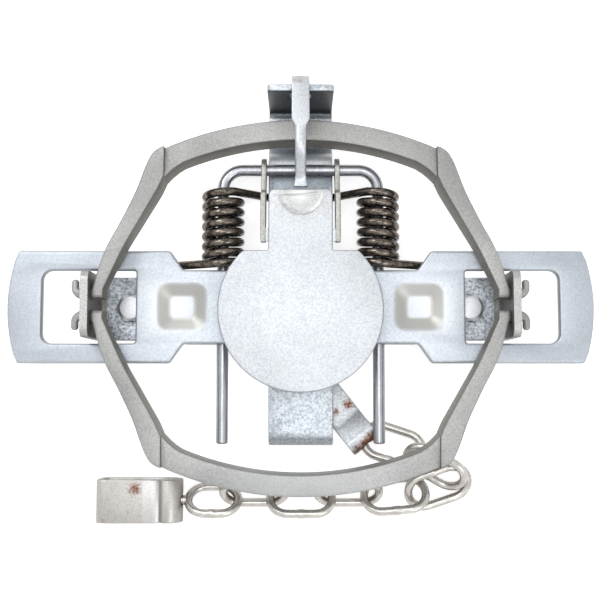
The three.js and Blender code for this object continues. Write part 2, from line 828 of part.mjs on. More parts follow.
// Pan: a disc with a flat top side, a shank towards the dog and two ears that ride on the rod
function pan() {
  const radius = panDiameter / 2;
  const cutAngle = Math.asin((panTopCutY - panCenterY) / radius);
  const shank = panShankWidth / 2;
  const r = panShankCorner;
  const shape = new THREE.Shape();
  shape.absarc(0, panCenterY, radius, Math.PI - cutAngle, 2 * Math.PI + cutAngle, false);
  shape.lineTo(shank, panTopCutY);
  shape.lineTo(shank, panShankEndY - r);
  shape.lineTo(shank - r, panShankEndY);
  shape.lineTo(r - shank, panShankEndY);
  shape.lineTo(-shank, panShankEndY - r);
  shape.lineTo(-shank, panTopCutY);
  const hollow = new THREE.Shape();
  hollow.absarc(0, panShankEndY, panHollowRadius, Math.PI, 2 * Math.PI, false);
  const webTop = panTop - earWebStep;
  const pieces = [plate(shape, panBottom, panTop, 16)];
  for (const side of [-1, 1]) {
    const edge = side * shank;
    const inner = edge + side * earGap;
    const outer = inner + side * earThickness;
    const low = Math.min(inner, outer);
    const high = Math.max(inner, outer);
    pieces.push(alongX(earShape(webTop), low, high));
    pieces.push(box(
      Math.min(edge - side * earGap, outer), Math.max(edge - side * earGap, outer),
      earRootY, earWebEndY, panBottom, webTop,
    ));
  }
  const hollowFloor = panTop - panHollowDepth;
  return build(pieces, [plate(hollow, hollowFloor, panTop + cutOverrun, 8)]);
}

// An ear, drawn in Y and Z: bent down from the edge of the shank, with a lug round the rod
function earShape(top) {
  const shape = new THREE.Shape();
  shape.moveTo(earRootY, top);
  shape.lineTo(earRootY, panBottom - earRootDrop);
  shape.lineTo(earNeckY, rodZ + earNeckRise);
  shape.absarc(rodCrossY, rodZ, earLugRadius, Math.PI * 1.06, Math.PI * 2.62, false);
  shape.lineTo(earNeckY, rodZ + earNeckRise + earNeckDepth);
  shape.lineTo(earWebEndY, top);
  shape.holes.push(circleHole(rodCrossY, rodZ, rodDiameter + holeClearance));
  return shape;
}

// Swivel tab, drawn along +X from its rivet and turned to its rest angle
function swivelTab() {
  const low = lowerLevel - seatGap - tabThickness / 2;
  const high = low + tabCrankRise;
  const end = tabLength - tabThickness / 2;
  const bottom = seatGap;
  const line = [
    [-tabTail, low],
    [tabCrankStart, low],
    [tabCrankEnd, high],
    [end, high],
    [end, bottom],
  ];
  const strip = alongY(stripShape(line, tabThickness), tabWidth);
  const hole = post(0, 0, swivelShankDiameter + holeClearance, low - cutOverrun, low + cutOverrun);
  const bore = pinX(end - cutOverrun, end + cutOverrun, 0, tabHoleZ, tabHoleDiameter);
  const tab = build([strip], [hole, bore]);
  return tab.rotateZ(tabAngle).translate(0, swivelRivetY, 0);
}

// The middle line of a chain link, drawn flat round the origin with its length along X
function linkLine(length, width) {
  const radius = (width - chainWire) / 2;
  const straight = (length - width) / 2;
  const points = [];
  for (const end of [1, -1]) {
    for (let i = 0; i <= linkBendSteps; i++) {
      const angle = end * (Math.PI / 2) * ((2 * i) / linkBendSteps - 1) * end + (end > 0 ? 0 : Math.PI);
      points.push(new THREE.Vector3(
        end * straight + radius * Math.cos(angle),
        radius * Math.sin(angle),
        0,
      ));
    }
  }
  return points;
}

// How high the middle of a loop of wire is when it lies on the ground, rolled about its length
function loopHeight(roll) {
  return ((linkWidth - chainWire) * Math.abs(Math.sin(roll)) + chainWire) / 2;
}

function chainLink(x, y, heading, roll) {
  const link = skin(wireRings(linkLine(linkLength, linkWidth), chainWire, linkSides, true), true);
  return link.rotateX(roll).rotateZ(heading).translate(x, y, loopHeight(roll));
}

// Swivel eye: a short link with a headed shank along its length
function swivelEye(x, y, roll) {
  const loop = skin(wireRings(linkLine(eyeLength, linkWidth), chainWire, linkSides, true), true);
  const tip = -eyeLength / 2;
  const shankEnd = tip - eyeShankLength;
  const eye = build([
    loop,
    pinX(shankEnd, tip + chainWire / 2, 0, 0, eyeShankDiameter),
    pinX(shankEnd - eyeHeadHeight / 2, shankEnd + eyeHeadHeight / 2, 0, 0, eyeHeadDiameter),
  ]);
  return eye.rotateX(roll).translate(x, y, loopHeight(roll));
}

// Strap of the end swivel: a flat loop that lies on the ground, with a hole for the shank
function swivelStrap(rightEndX, y) {
  const half = strapHeight / 2;
  const left = -strapLength;
  const outline = (inset) => {
    const shape = new THREE.Shape();
    const r = strapCornerRadius - inset / 2;
    shape.moveTo(-half, -half + inset);
    shape.absarc(-half, 0, half - inset, -Math.PI / 2, Math.PI / 2, false);
    shape.lineTo(left + inset + r, half - inset);
    shape.absarc(left + inset + r, half - inset - r, r, Math.PI / 2, Math.PI, false);
    shape.lineTo(left + inset, inset + r - half);
    shape.absarc(left + inset + r, inset + r - half, r, Math.PI, 1.5 * Math.PI, false);
    shape.lineTo(-half, -half + inset);
    return shape;
  };
  const outer = outline(0);
  outer.holes.push(new THREE.Path(outline(strapThickness).getPoints(6)));
  const loop = alongY(outer, strapWidth);
  const bore = pinX(-half, cutOverrun, 0, 0, strapHoleDiameter);
  return build([loop], [bore]).translate(rightEndX, y, half);
}

// Assembly
addPiece('base_plate', basePlate(), darkSteel);
addPiece('cross_member', crossMember(), darkSteel);
addPiece('centre_rivet', centreRivet(), darkSteel);
addPiece('swivel_rivet', swivelRivet(), darkSteel);
for (const [label, side] of [['left', -1], ['right', 1]]) {
  addPiece(`jaw_post_${label}`, jawPost(side), darkSteel);
  addPiece(`post_bolt_${label}`, postBolt(side), zincSteel);
  addPiece(`post_nut_${label}`, postNut(side), zincSteel);
}
addPiece('spring_rod', springRod(), brightSteel);

const coil = springLine();
for (const [label, side] of [['left', -1], ['right', 1]]) {
  const spring = skin(wireRings(coil, springWire, springSides));
  addPiece(`coil_spring_${label}`, mirrored(spring, side), springSteel);
  addPiece(`lever_${label}`, mirrored(lever(), side), zincSteel);
}
console.log(`spring: least gap between curls ${leastGap(coil, springWire).toFixed(2)} mm`);

const upperJaw = addPiece('jaw_upper', jaw(), castIron);
upperJaw.position.set(0, pivotOffset, pivotZ);
upperJaw.rotation.x = -jawDroop;
const lowerJaw = addPiece('jaw_lower', jaw(), castIron);
lowerJaw.position.set(0, -pivotOffset, pivotZ);
lowerJaw.rotation.set(jawDroop, 0, Math.PI);

addPiece('dog', dog(), zincSteel);
addPiece('pan', pan(), zincSteel);
addPiece('swivel_tab', swivelTab(), zincSteel);

const linkPlaces = [
  [firstLinkX, firstLinkY],
  [secondLinkX, secondLinkY],
  [thirdLinkX, thirdLinkY],
  [fourthLinkX, fourthLinkY],
];
for (let i = 0; i < rowLinks; i++) {
  linkPlaces.push([rowFirstX - i * rowPitch, rowY - rowSwing * (i % 2)]);
}
linkPlaces.forEach(([x, y], i) => {
  const heading = THREE.MathUtils.degToRad(linkHeadings[i]);
  const roll = THREE.MathUtils.degToRad(linkRolls[i]);
  addPiece(`chain_link_${i + 1}`, chainLink(x, y, heading, roll), brightSteel);
});
const eyeX = rowFirstX - rowLinks * rowPitch + (linkLength - eyeLength) / 2;
const eyeY = rowY - eyeSwing;
addPiece('swivel_eye', swivelEye(eyeX, eyeY, THREE.MathUtils.degToRad(eyeRoll)), brightSteel);
const strapRight = eyeX - eyeLength / 2 - seatGap;
addPiece('swivel_strap', swivelStrap(strapRight, eyeY), zincSteel);

export default trap;
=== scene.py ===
"""Looks for the offset jaw trap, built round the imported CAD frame.

Lengths are in millimetres in the constants below and become metres where a mesh is made.
"""
import math

import bmesh
import bpy
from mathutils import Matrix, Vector
from mathutils.geometry import tessellate_polygon


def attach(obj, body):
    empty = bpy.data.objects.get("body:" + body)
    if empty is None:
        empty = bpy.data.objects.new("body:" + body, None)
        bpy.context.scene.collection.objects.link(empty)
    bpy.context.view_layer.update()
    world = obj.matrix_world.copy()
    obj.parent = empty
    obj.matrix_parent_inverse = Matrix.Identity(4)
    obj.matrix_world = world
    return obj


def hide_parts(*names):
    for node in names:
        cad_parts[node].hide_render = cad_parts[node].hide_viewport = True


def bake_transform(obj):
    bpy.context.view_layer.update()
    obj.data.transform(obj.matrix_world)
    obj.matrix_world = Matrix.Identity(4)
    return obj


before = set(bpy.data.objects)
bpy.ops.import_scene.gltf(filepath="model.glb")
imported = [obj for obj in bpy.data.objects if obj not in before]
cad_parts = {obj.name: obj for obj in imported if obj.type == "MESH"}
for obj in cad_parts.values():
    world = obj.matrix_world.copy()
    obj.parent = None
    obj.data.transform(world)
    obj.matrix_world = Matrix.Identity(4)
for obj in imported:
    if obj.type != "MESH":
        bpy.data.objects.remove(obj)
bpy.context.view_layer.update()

MM = 0.001
SIDES = (("left", -1), ("right", 1))

# Camera, read from the photograph
FRAME_PIXELS = 600
CAMERA_DISTANCE = 400
CAMERA_TARGET_Z = 20
CAMERA_TILT = math.radians(5)
FOCAL_PIXELS = 988
SENSOR_WIDTH = 36
TARGET_PIXEL_X = 300.6
TARGET_PIXEL_Y = 306.5

# The stack of heights, as in the part
ROD_Z = 13.6
PIVOT_Y = 4.6
PIVOT_Z = 27.5
LEVER_BOTTOM = 16.1
LEVER_TOP = 19.1
PAN_BOTTOM = 25.2
PAN_TOP = 27.2
DOG_PIVOT_Y = 86.5
DOG_PIVOT_Z = 31.35


# Mesh helpers
SHARP_ANGLE = math.radians(32)
WELD_DISTANCE = 0.002
BEND_STEPS = 6
CORNER_STEPS = 4
PLATE_ROLL_STEPS = 3
OVERLAP = 0.1


def shade(mesh):
    """Smooth faces, with sharp edges where they meet steeply."""
    mesh.polygons.foreach_set("use_smooth", [True] * len(mesh.polygons))
    mesh.set_sharp_from_angle(angle=SHARP_ANGLE)


class Build:
    """Collects several shells into one mesh."""

    def __init__(self):
        self.verts = []
        self.faces = []

    def add(self, verts, faces):
        base = len(self.verts)
        self.verts += [tuple(v) for v in verts]
        self.faces += [tuple(i + base for i in face) for face in faces]

    def walls(self, rings, closed=False, flip=False):
        """A skin from each ring of points to the next, and round to the first if closed."""
        count = len(rings[0])
        verts = [v for ring in rings for v in ring]
        faces = []
        for here in range(0, len(verts) if closed else len(verts) - count, count):
            there = (here + count) % len(verts)
            for j in range(count):
                k = (j + 1) % count
                face = (here + j, here + k, there + k, there + j)
                faces.append(tuple(reversed(face)) if flip else face)
        self.add(verts, faces)

    def loft(self, rings, closed=False):
        """Walls with a cap on each end, unless they close on themselves."""
        start, count = len(self.verts), len(rings[0])
        self.walls(rings, closed=closed)
        if not closed:
            self.faces.append(tuple(reversed(range(start, start + count))))
            self.faces.append(tuple(range(len(self.verts) - count, len(self.verts))))

    def tube(self, path, radius, sides, closed=False):
        """A round wire. radius is one size, or one for each point."""
        self.loft(wire_rings(path, radius, sides, closed), closed)

    def mirror_x(self):
        self.verts = [(-x, y, z) for x, y, z in self.verts]
        self.faces = [tuple(reversed(face)) for face in self.faces]

    def move(self, change):
        self.verts = [tuple(change(Vector(v))) for v in self.verts]

    def make(self, name):
        """A smooth shaded mesh object, in metres."""
        mesh = bpy.data.meshes.new(name)
        mesh.from_pydata([tuple(c * MM for c in v) for v in self.verts], [], self.faces)
        mesh.validate()
        shade(mesh)
        obj = bpy.data.objects.new(name, mesh)
        bpy.context.scene.collection.objects.link(obj)
        return obj


def wire_rings(path, radius, sides, closed):
    """Round sections along a path, turned as little as possible from one to the next."""
    path = [Vector(p) for p in path]
    count = len(path)
    radii = radius if isinstance(radius, (list, tuple)) else [radius] * count
    tangents = []
    for i, p in enumerate(path):
        before = path[i - 1] if closed or i > 0 else p
        after = path[(i + 1) % count] if closed or i < count - 1 else p
        tangents.append(((p - before).normalized() + (after - p).normalized()).normalized())
    side = Vector((0, 0, 1)).cross(tangents[0])
    if side.length < 0.1:
        side = Vector((1, 0, 0)).cross(tangents[0])
    rings = []
    for p, tangent, r in zip(path, tangents, radii):
        side = (side - tangent * side.dot(tangent)).normalized()
        up = tangent.cross(side)
        ring = []
        for j in range(sides):
            a = 2 * math.pi * j / sides
            ring.append(p + side * (r * math.cos(a)) + up * (r * math.sin(a)))
        rings.append(ring)
    return rings


def between(first, last, share):
    return first + (last - first) * share


def arc(cx, cy, radius, start, end, steps):
    """Points of an arc, angles in degrees."""
    points = []
    for i in range(steps + 1):
        a = math.radians(start + (end - start) * i / steps)
        points.append((cx + radius * math.cos(a), cy + radius * math.sin(a)))
    return points


def rounded_box(x0, x1, y0, y1, radii, steps=5):
    """A rectangle, anticlockwise, with corner radii from lower right round to lower left."""
    r = radii
    points = arc(x1 - r[0], y0 + r[0], r[0], -90, 0, steps)
    points += arc(x1 - r[1], y1 - r[1], r[1], 0, 90, steps)
    points += arc(x0 + r[2], y1 - r[2], r[2], 90, 180, steps)
    points += arc(x0 + r[3], y0 + r[3], r[3], 180, 270, steps)
    return points


def bend(before, corner, after, radius, steps):
    """Points of a curve that rounds one corner of a line."""
    p = Vector(corner)
    a = (Vector(before) - p).normalized()
    b = (Vector(after) - p).normalized()
    reach = radius / math.tan(a.angle(b) / 2)
    start, end = p + a * reach, p + b * reach
    points = []
    for k in range(steps + 1):
        t = k / steps
        points.append(tuple((1 - t) ** 2 * start + 2 * t * (1 - t) * p + t ** 2 * end))
    return points


def bent(points, radii, steps=BEND_STEPS):
    """An open line in two directions with its bends rounded."""
    out = [tuple(points[0])]
    for i, radius in enumerate(radii, 1):
        out += bend(points[i - 1], points[i], points[i + 1], radius, steps)
    out.append(tuple(points[-1]))
    return out


def round_corners(points, radii):
    """A polygon with its corners rounded. A corner with radius 0 stays sharp."""
    out = []
    for i, radius in enumerate(radii):
        if radius:
            after = points[(i + 1) % len(points)]
            out += bend(points[i - 1], points[i], after, radius, CORNER_STEPS)
        else:
            out.append(tuple(points[i]))
    return out


def spline(points, steps):
    """A smooth line through rows of numbers."""
    rows = [points[0]] + list(points) + [points[-1]]
    out = []
    for i in range(1, len(rows) - 2):
        for k in range(steps):
            t = k / steps
            row = []
            for a, b, c, d in zip(rows[i - 1], rows[i], rows[i + 1], rows[i + 2]):
                row.append(0.5 * (2 * b + (c - a) * t + (2 * a - 5 * b + 4 * c - d) * t ** 2
                                  + (3 * b - a - 3 * c + d) * t ** 3))
            out.append(row)
    out.append(list(points[-1]))
    return out


def offset_loop(loop, distance):
    """The loop moved to its left by distance, with mitred corners."""
    sharpest = 0.4
    out = []
    count = len(loop)
    for i, (x, y) in enumerate(loop):
        ax, ay = loop[i - 1]
        bx, by = loop[(i + 1) % count]
        d0 = Vector((x - ax, y - ay)).normalized()
        d1 = Vector((bx - x, by - y)).normalized()
        n0 = Vector((-d0.y, d0.x))
        n1 = Vector((-d1.y, d1.x))
        normal = (n0 + n1).normalized()
        reach = distance / max(normal.dot(n0), sharpest)
        out.append((x + normal.x * reach, y + normal.y * reach))
    return out


def rolled(loop, top, width, depth, steps=5):
    """A stack from an edge, depth below the flat, up and in along a quarter round."""
    stack = []
    for i in range(steps + 1):
        a = math.pi / 2 * i / steps
        stack.append((offset_loop(loop, width * (1 - math.cos(a))), top - depth * (1 - math.sin(a))))
    return stack


def raised(loop, z):
    """A loop's points at a height."""
    return [(x, y, z) for x, y in loop]


def sheet_skin(build, stacks, flip=False):
    """A face of sheet metal. Each stack is a list of (loop, z) from an edge to the flat. The
    first stack is the outside and the others are holes or dishes in it."""
    inner = []
    for stack in stacks:
        rings = [raised(loop, z) for loop, z in stack]
        build.walls(rings, flip=flip)
        inner.append([Vector(v) for v in rings[-1]])
    flat = [v for loop in inner for v in loop]
    triangles = []
    for a, b, c in tessellate_polygon(inner):
        up = (flat[b] - flat[a]).cross(flat[c] - flat[a]).z > 0
        triangles.append((a, b, c) if up != flip else (a, c, b))
    build.add(flat, triangles)


def plate_solid(build, outer, holes, low, high, roll, place):
    """A flat plate with rolled edges on both faces. Loops run anticlockwise."""
    part = Build()
    loops = [outer] + [list(reversed(hole)) for hole in holes]
    tops = [rolled(loop, high, roll, roll, PLATE_ROLL_STEPS) for loop in loops]
    sheet_skin(part, tops)
    sheet_skin(part, [[(ring, low + high - z) for ring, z in stack] for stack in tops], flip=True)
    for loop in loops:
        part.walls([raised(loop, low + roll), raised(loop, high - roll)])
    build.add([place(*v) for v in part.verts], part.faces)


def bar_section(width, thickness, round_x, round_z, steps=4):
    """A flat bar's section, width by thickness, with its corners rounded."""
    points = []
    for sx, sz, start in ((1, 1, 0), (-1, 1, 90), (-1, -1, 180), (1, -1, 270)):
        cx, cz = sx * (width / 2 - round_x), sz * (thickness / 2 - round_z)
        for k in range(steps + 1):
            a = math.radians(start + 90 * k / steps)
            points.append((cx + round_x * math.cos(a), cz + round_z * math.sin(a)))
    return points


def strip_loft(build, line, sections, place):
    """A bent strip. line is its middle line, one section for all of it or one for each point,
    and place puts (width, along, up) into the part."""
    if not isinstance(sections[0], list):
        sections = [sections] * len(line)
    rings = []
    for i, (s, z) in enumerate(line):
        before = line[max(i - 1, 0)]
        after = line[min(i + 1, len(line) - 1)]
        d0, d1 = Vector((s - before[0], z - before[1])), Vector((after[0] - s, after[1] - z))
        tangent = (d0.normalized() + d1.normalized()).normalized()
        normal = Vector((-tangent.y, tangent.x))
        rings.append([tuple(place(u, s + normal.x * v, z + normal.y * v)) for u, v in sections[i]])
    build.loft(rings)


def weld(obj):
    """Joins the doubled points where shells meet."""
    bm = bmesh.new()
    bm.from_mesh(obj.data)
    bmesh.ops.remove_doubles(bm, verts=bm.verts, dist=WELD_DISTANCE * MM)
    bmesh.ops.recalc_face_normals(bm, faces=bm.faces)
    bm.to_mesh(obj.data)
    bm.free()
    shade(obj.data)
    return obj


def cut(obj, cutter):
    """Cuts one mesh away from another and drops the cutter."""
    step = obj.modifiers.new("cut", "BOOLEAN")
    step.operation = "DIFFERENCE"
    step.solver = "EXACT"
    step.object = cutter
    result = bpy.data.meshes.new_from_object(obj.evaluated_get(bpy.context.evaluated_depsgraph_get()))
    obj.modifiers.clear()
    obj.data = result
    bpy.data.objects.remove(cutter)
    shade(result)


# Node helpers

def feed(mat, socket, value):
    """Links an output to a socket, or writes a number or a colour on it."""
    if isinstance(value, (int, float)):
        socket.default_value = value
    elif isinstance(value, tuple):
        socket.default_value = (*value, 1)
    else:
        mat.node_tree.links.new(value, socket)


def math_node(mat, operation, *values):
    """A sum of outputs and numbers."""
    node = mat.node_tree.nodes.new("ShaderNodeMath")
    node.operation = operation
    for socket, value in zip(node.inputs, values):
        feed(mat, socket, value)
    return node.outputs["Value"]


def ramp(mat, factor, places, tones):
    """A colour ramp on a value, with a grey or a colour at each place."""
    node = mat.node_tree.nodes.new("ShaderNodeValToRGB")
    elements = node.color_ramp.elements
    while len(elements) < len(places):
        elements.new(0.5)
    for element, place, tone in zip(elements, places, tones):
        element.position = place
        element.color = (*tone, 1) if isinstance(tone, tuple) else (tone, tone, tone, 1)
    feed(mat, node.inputs["Fac"], factor)
    return node.outputs["Color"]


def noise_node(mat, place, scale, detail, roughness=0.5):
    """A cloudy value. A larger scale is finer."""
    node = mat.node_tree.nodes.new("ShaderNodeTexNoise")
    node.inputs["Scale"].default_value = scale
    node.inputs["Detail"].default_value = detail
    node.inputs["Roughness"].default_value = roughness
    feed(mat, node.inputs["Vector"], place)
    return node.outputs["Fac"]


def mix_node(mat, kind, factor, first, second):
    """The second colour laid over the first, or multiplied into it."""
    node = mat.node_tree.nodes.new("ShaderNodeMixRGB")
    node.blend_type = kind
    feed(mat, node.inputs["Fac"], factor)
    feed(mat, node.inputs["Color1"], first)
    feed(mat, node.inputs["Color2"], second)
    return node.outputs["Color"]


def map_node(mat, value, source, target):
    """A value taken from one range to another."""
    node = mat.node_tree.nodes.new("ShaderNodeMapRange")
    feed(mat, node.inputs["Value"], value)
    node.inputs["From Min"].default_value, node.inputs["From Max"].default_value = source
    node.inputs["To Min"].default_value, node.inputs["To Max"].default_value = target
    return node.outputs["Result"]


# Metals. A spread says where a ramp's tones lie.
FINE_DETAIL = 3
FINE_ROUGHNESS = 0.65
FINE_SPREAD = (0.36, 0.6)
BROAD_DETAIL = 5
CLOUD_SPREAD = (0.35, 0.65)
# Dirt and painted shade in corners: how far the AO looks, its samples and its spread
DIRT_AND_SHADE_REACH = 2.5
DIRT_AND_SHADE_SAMPLES = 4
DIRT_AND_SHADE_SPREAD = (0.25, 0.7)
BUMP_HEIGHT = 0.12
# Tones by how level a face is: painted shade on upright faces, a painted highlight on sloping edges, flats
# a little darker than those edges
PAINTED_LIGHT_SPREAD = (0.25, 0.78, 0.93, 0.985)
PAINTED_EDGE_HIGHLIGHT = (1.0, 1.0, 1.0)
FLAT_FACE = (0.93, 0.93, 0.93)
RAGGED_SCALE = 900
RAGGED_DETAIL = 6
RAGGED_SHARE = 1.6
SPOT_EDGE_OUT = 1.9
SPOT_EDGE_IN = 1.1
FRAME_ROUNDNESS = 6
FRAME_FADE = (0.9, 1.15)
FRAME_EDGE_IN = 0.84


def spotted(mat, place, color, spots):
    """Ragged round spots: rust, grey smudges, painted shade and painted gleams. A spot is (x, y, z, radius,
    strength, tones).
    """
    ragged = noise_node(mat, place, RAGGED_SCALE, RAGGED_DETAIL)
    for x, y, z, radius, strength, tones in spots:
        away = mat.node_tree.nodes.new("ShaderNodeVectorMath")
        away.operation = "DISTANCE"
        away.inputs[1].default_value = (x * MM, y * MM, z * MM)
        feed(mat, away.inputs[0], place)
        pull = math_node(mat, "MULTIPLY_ADD", ragged, radius * RAGGED_SHARE * MM, away.outputs["Value"])
        edge = (radius * SPOT_EDGE_OUT * MM, radius * SPOT_EDGE_IN * MM)
        fade = map_node(mat, pull, edge, (0, strength))
        color = mix_node(mat, "MIX", fade, color, ramp(mat, ragged, CLOUD_SPREAD, tones))
    return color


def framed(mat, place, color, frames):
    """Tones inside round cornered boxes, seen from above and the same on both sides of x = 0, used for
    painted shade and painted highlights. A frame is (x, y, half length, half width, share of the size that
    stays clear, strength, tone)."""
    for x, y, half_x, half_y, clear, strength, tone in frames:
        spot = mat.node_tree.nodes.new("ShaderNodeSeparateXYZ")
        feed(mat, spot.inputs["Vector"], place)
        across = math_node(mat, "SUBTRACT", math_node(mat, "ABSOLUTE", spot.outputs["X"]), x * MM)
        across = math_node(mat, "DIVIDE", math_node(mat, "ABSOLUTE", across), half_x * MM)
        along = math_node(mat, "SUBTRACT", spot.outputs["Y"], y * MM)
        along = math_node(mat, "DIVIDE", math_node(mat, "ABSOLUTE", along), half_y * MM)
        powers = [math_node(mat, "POWER", share, FRAME_ROUNDNESS) for share in (across, along)]
        reach = math_node(mat, "POWER", math_node(mat, "ADD", *powers), 1 / FRAME_ROUNDNESS)
        spread = (clear * FRAME_FADE[0], clear * FRAME_FADE[1], FRAME_EDGE_IN, 1.0)
        color = mix_node(mat, "MIX", ramp(mat, reach, spread, (0, strength, strength, 0)), color, tone)
    return color


def metal(name, light, dark, metallic=0.7, rough=(0.35, 0.5), speckle=1400, blotch=60, bump=0.12,
          blotch_dark=0.12, dirt_and_shade=(0.16, 0.13, 0.1), dirt_and_shade_amount=0.5, stretch=(1, 1, 1), sides=None,
          spots=(), frames=()):
    """Metal with fine speckle, broad blotches, dirt and painted shade in its corners, spots and frames.
    sides is the painted shade of upright faces; the edges between them and the flats get a painted
    highlight."""
    mat = bpy.data.materials.new(name)
    mat.use_nodes = True
    nodes = mat.node_tree.nodes
    shader = nodes["Principled BSDF"]
    shader.inputs["Metallic"].default_value = metallic
    coords = nodes.new("ShaderNodeTexCoord")
    place = coords.outputs["Object"]
    mapping = nodes.new("ShaderNodeMapping")
    mapping.inputs["Scale"].default_value = stretch
    feed(mat, mapping.inputs["Vector"], place)

    fine = noise_node(mat, mapping.outputs["Vector"], speckle, FINE_DETAIL, FINE_ROUGHNESS)
    broad = noise_node(mat, place, blotch, BROAD_DETAIL)
    blotches = ramp(mat, broad, CLOUD_SPREAD, (1 - blotch_dark, 1.0))
    color = mix_node(mat, "MULTIPLY", 1, ramp(mat, fine, FINE_SPREAD, (dark, light)), blotches)

    # Darker where the AO finds surfaces close by: dirt, and painted shade in corners, creases and gaps
    corner = nodes.new("ShaderNodeAmbientOcclusion")
    corner.inputs["Distance"].default_value = DIRT_AND_SHADE_REACH * MM
    corner.samples = DIRT_AND_SHADE_SAMPLES
    dirt_and_shade_mask = ramp(mat, corner.outputs["AO"], DIRT_AND_SHADE_SPREAD, (dirt_and_shade_amount, 0.0))
    color = mix_node(mat, "MIX", dirt_and_shade_mask, color, dirt_and_shade)

    # Painted shade on upright faces and a painted highlight on sloping edges, by how level the face is
    if sides:
        facing = nodes.new("ShaderNodeSeparateXYZ")
        feed(mat, facing.inputs["Vector"], coords.outputs["Normal"])
        level = math_node(mat, "ABSOLUTE", facing.outputs["Z"])
        painted_light = ramp(mat, level, PAINTED_LIGHT_SPREAD, (sides, PAINTED_EDGE_HIGHLIGHT, PAINTED_EDGE_HIGHLIGHT, FLAT_FACE))
        color = mix_node(mat, "MULTIPLY", 1, color, painted_light)

    if spots:
        color = spotted(mat, place, color, spots)
    color = framed(mat, place, color, frames)
    feed(mat, shader.inputs["Base Color"], color)
    feed(mat, shader.inputs["Roughness"], map_node(mat, fine, (0, 1), (rough[1], rough[0])))
    height = nodes.new("ShaderNodeBump")
    height.inputs["Strength"].default_value = bump
    height.inputs["Distance"].default_value = BUMP_HEIGHT * MM
    feed(mat, height.inputs["Height"], fine)
    feed(mat, shader.inputs["Normal"], height.outputs["Normal"])
    return mat


RUST = ((0.10, 0.035, 0.018), (0.30, 0.13, 0.07))
PALE_RUST = ((0.30, 0.20, 0.13), (0.42, 0.31, 0.21))
SMUDGE = ((0.22, 0.22, 0.22), (0.36, 0.36, 0.35))
SHADE_BEIGE = ((0.48, 0.48, 0.45), (0.62, 0.62, 0.59))
GLEAM = ((0.80, 0.83, 0.86), (0.87, 0.89, 0.91))

# The frame is painted shade on the dimple's sloping walls; the gleam spots are painted highlights on the
# inner half of each lever
zinc = metal("zinc", (0.64, 0.69, 0.755), (0.51, 0.56, 0.62), metallic=0.45, rough=(0.34, 0.46),
             speckle=1700, bump=0.06, blotch=38, blotch_dark=0.13, sides=(0.66, 0.63, 0.58),
             frames=[(48.3, 0, 10.6, 10.2, 0.42, 0.8, (0.44, 0.43, 0.39))],
             spots=[(-52, 0, 19, 19, 0.5, GLEAM), (52, 0, 19, 19, 0.5, GLEAM)])
nut_zinc = metal("nut_zinc", (0.66, 0.70, 0.76), (0.52, 0.56, 0.62), metallic=0.6, speckle=1500,
                 sides=(0.45, 0.45, 0.45))
# Painted shade in and round the pressed half moon, with a painted highlight at its top
pan_zinc = metal("pan_zinc", (0.82, 0.85, 0.89), (0.62, 0.66, 0.71), metallic=0.35, rough=(0.36, 0.48),
                 speckle=1300, blotch=34, bump=0.06, blotch_dark=0.12, sides=(0.42, 0.42, 0.41),
                 spots=[(0, 45.0, 27, 13, 0.85, SHADE_BEIGE), (0, 45.4, 27, 4.6, 0.9, GLEAM)])
ear_steel = metal("ear_steel", (0.50, 0.49, 0.46), (0.34, 0.34, 0.32), metallic=0.6, speckle=900,
                  spots=[(-15.1, 59.5, 19, 3.6, 0.9, SMUDGE), (15.1, 59.5, 19, 3.6, 0.9, SMUDGE)])
# The frames are painted light: near black painted shade on the inside face of the dog post, a painted
# highlight on the hump, and painted shadow on the strip between the pan and the rod
strip = metal("strip", (0.72, 0.77, 0.82), (0.38, 0.43, 0.48), metallic=0.6, rough=(0.34, 0.48),
              speckle=1000, bump=0.1, blotch=50, blotch_dark=0.16, sides=(0.42, 0.42, 0.42),
              frames=[(0, 83.9, 17, 1.7, 0.01, 0.72, (0.025, 0.025, 0.025)),
                      (0, 60.4, 17, 5.5, 0.01, 0.6, (0.90, 0.94, 0.98)),
                      (0, 53.6, 13.9, 4.4, 0.01, 0.6, (0.17, 0.20, 0.24))])
plate_steel = metal("plate_steel", (0.84, 0.89, 0.96), (0.27, 0.30, 0.35), metallic=0.5, speckle=950,
                    blotch=90, blotch_dark=0.25, sides=(0.42, 0.42, 0.43))
post_steel = metal("post_steel", (0.60, 0.60, 0.59), (0.42, 0.42, 0.41), metallic=0.6, speckle=1500,
                   sides=(0.42, 0.41, 0.39),
                   spots=[(-84.5, 12, 37, 2.2, 0.5, PALE_RUST), (84.5, 12, 37, 2.0, 0.4, PALE_RUST),
                          (-84.5, -12, 37, 1.6, 0.3, PALE_RUST)])
tab_steel = metal("tab_steel", (0.66, 0.69, 0.72), (0.44, 0.46, 0.49), metallic=0.55, speckle=1100,
                  sides=(0.42, 0.40, 0.38),
                  spots=[(20.0, -39.6, 4.3, 2.6, 1.0, RUST), (14.9, -42.6, 4.3, 1.8, 0.9, RUST),
                         (29.2, -53.4, 9.4, 3.4, 1.0, RUST), (26.6, -55.8, 9.2, 3.4, 1.0, RUST),
                         (23.6, -58.0, 8.8, 2.6, 0.9, RUST), (31.0, -51.8, 9.0, 2.6, 0.9, RUST)])
cast = metal("cast", (0.57, 0.57, 0.56), (0.42, 0.42, 0.41), metallic=0.3, rough=(0.42, 0.58),
             speckle=1500, bump=0.2, blotch=28, blotch_dark=0.27, sides=(0.46, 0.43, 0.38),
             spots=[(0, -82, 27, 52, 0.3, GLEAM),
                    (-60.0, 46.3, 27, 1.9, 0.75, SMUDGE), (60.6, 47.9, 27, 1.6, 0.6, SMUDGE),
                    (-60.4, -46.8, 27, 1.6, 0.6, SMUDGE), (62.1, -46.4, 27, 2.4, 0.7, SMUDGE)])
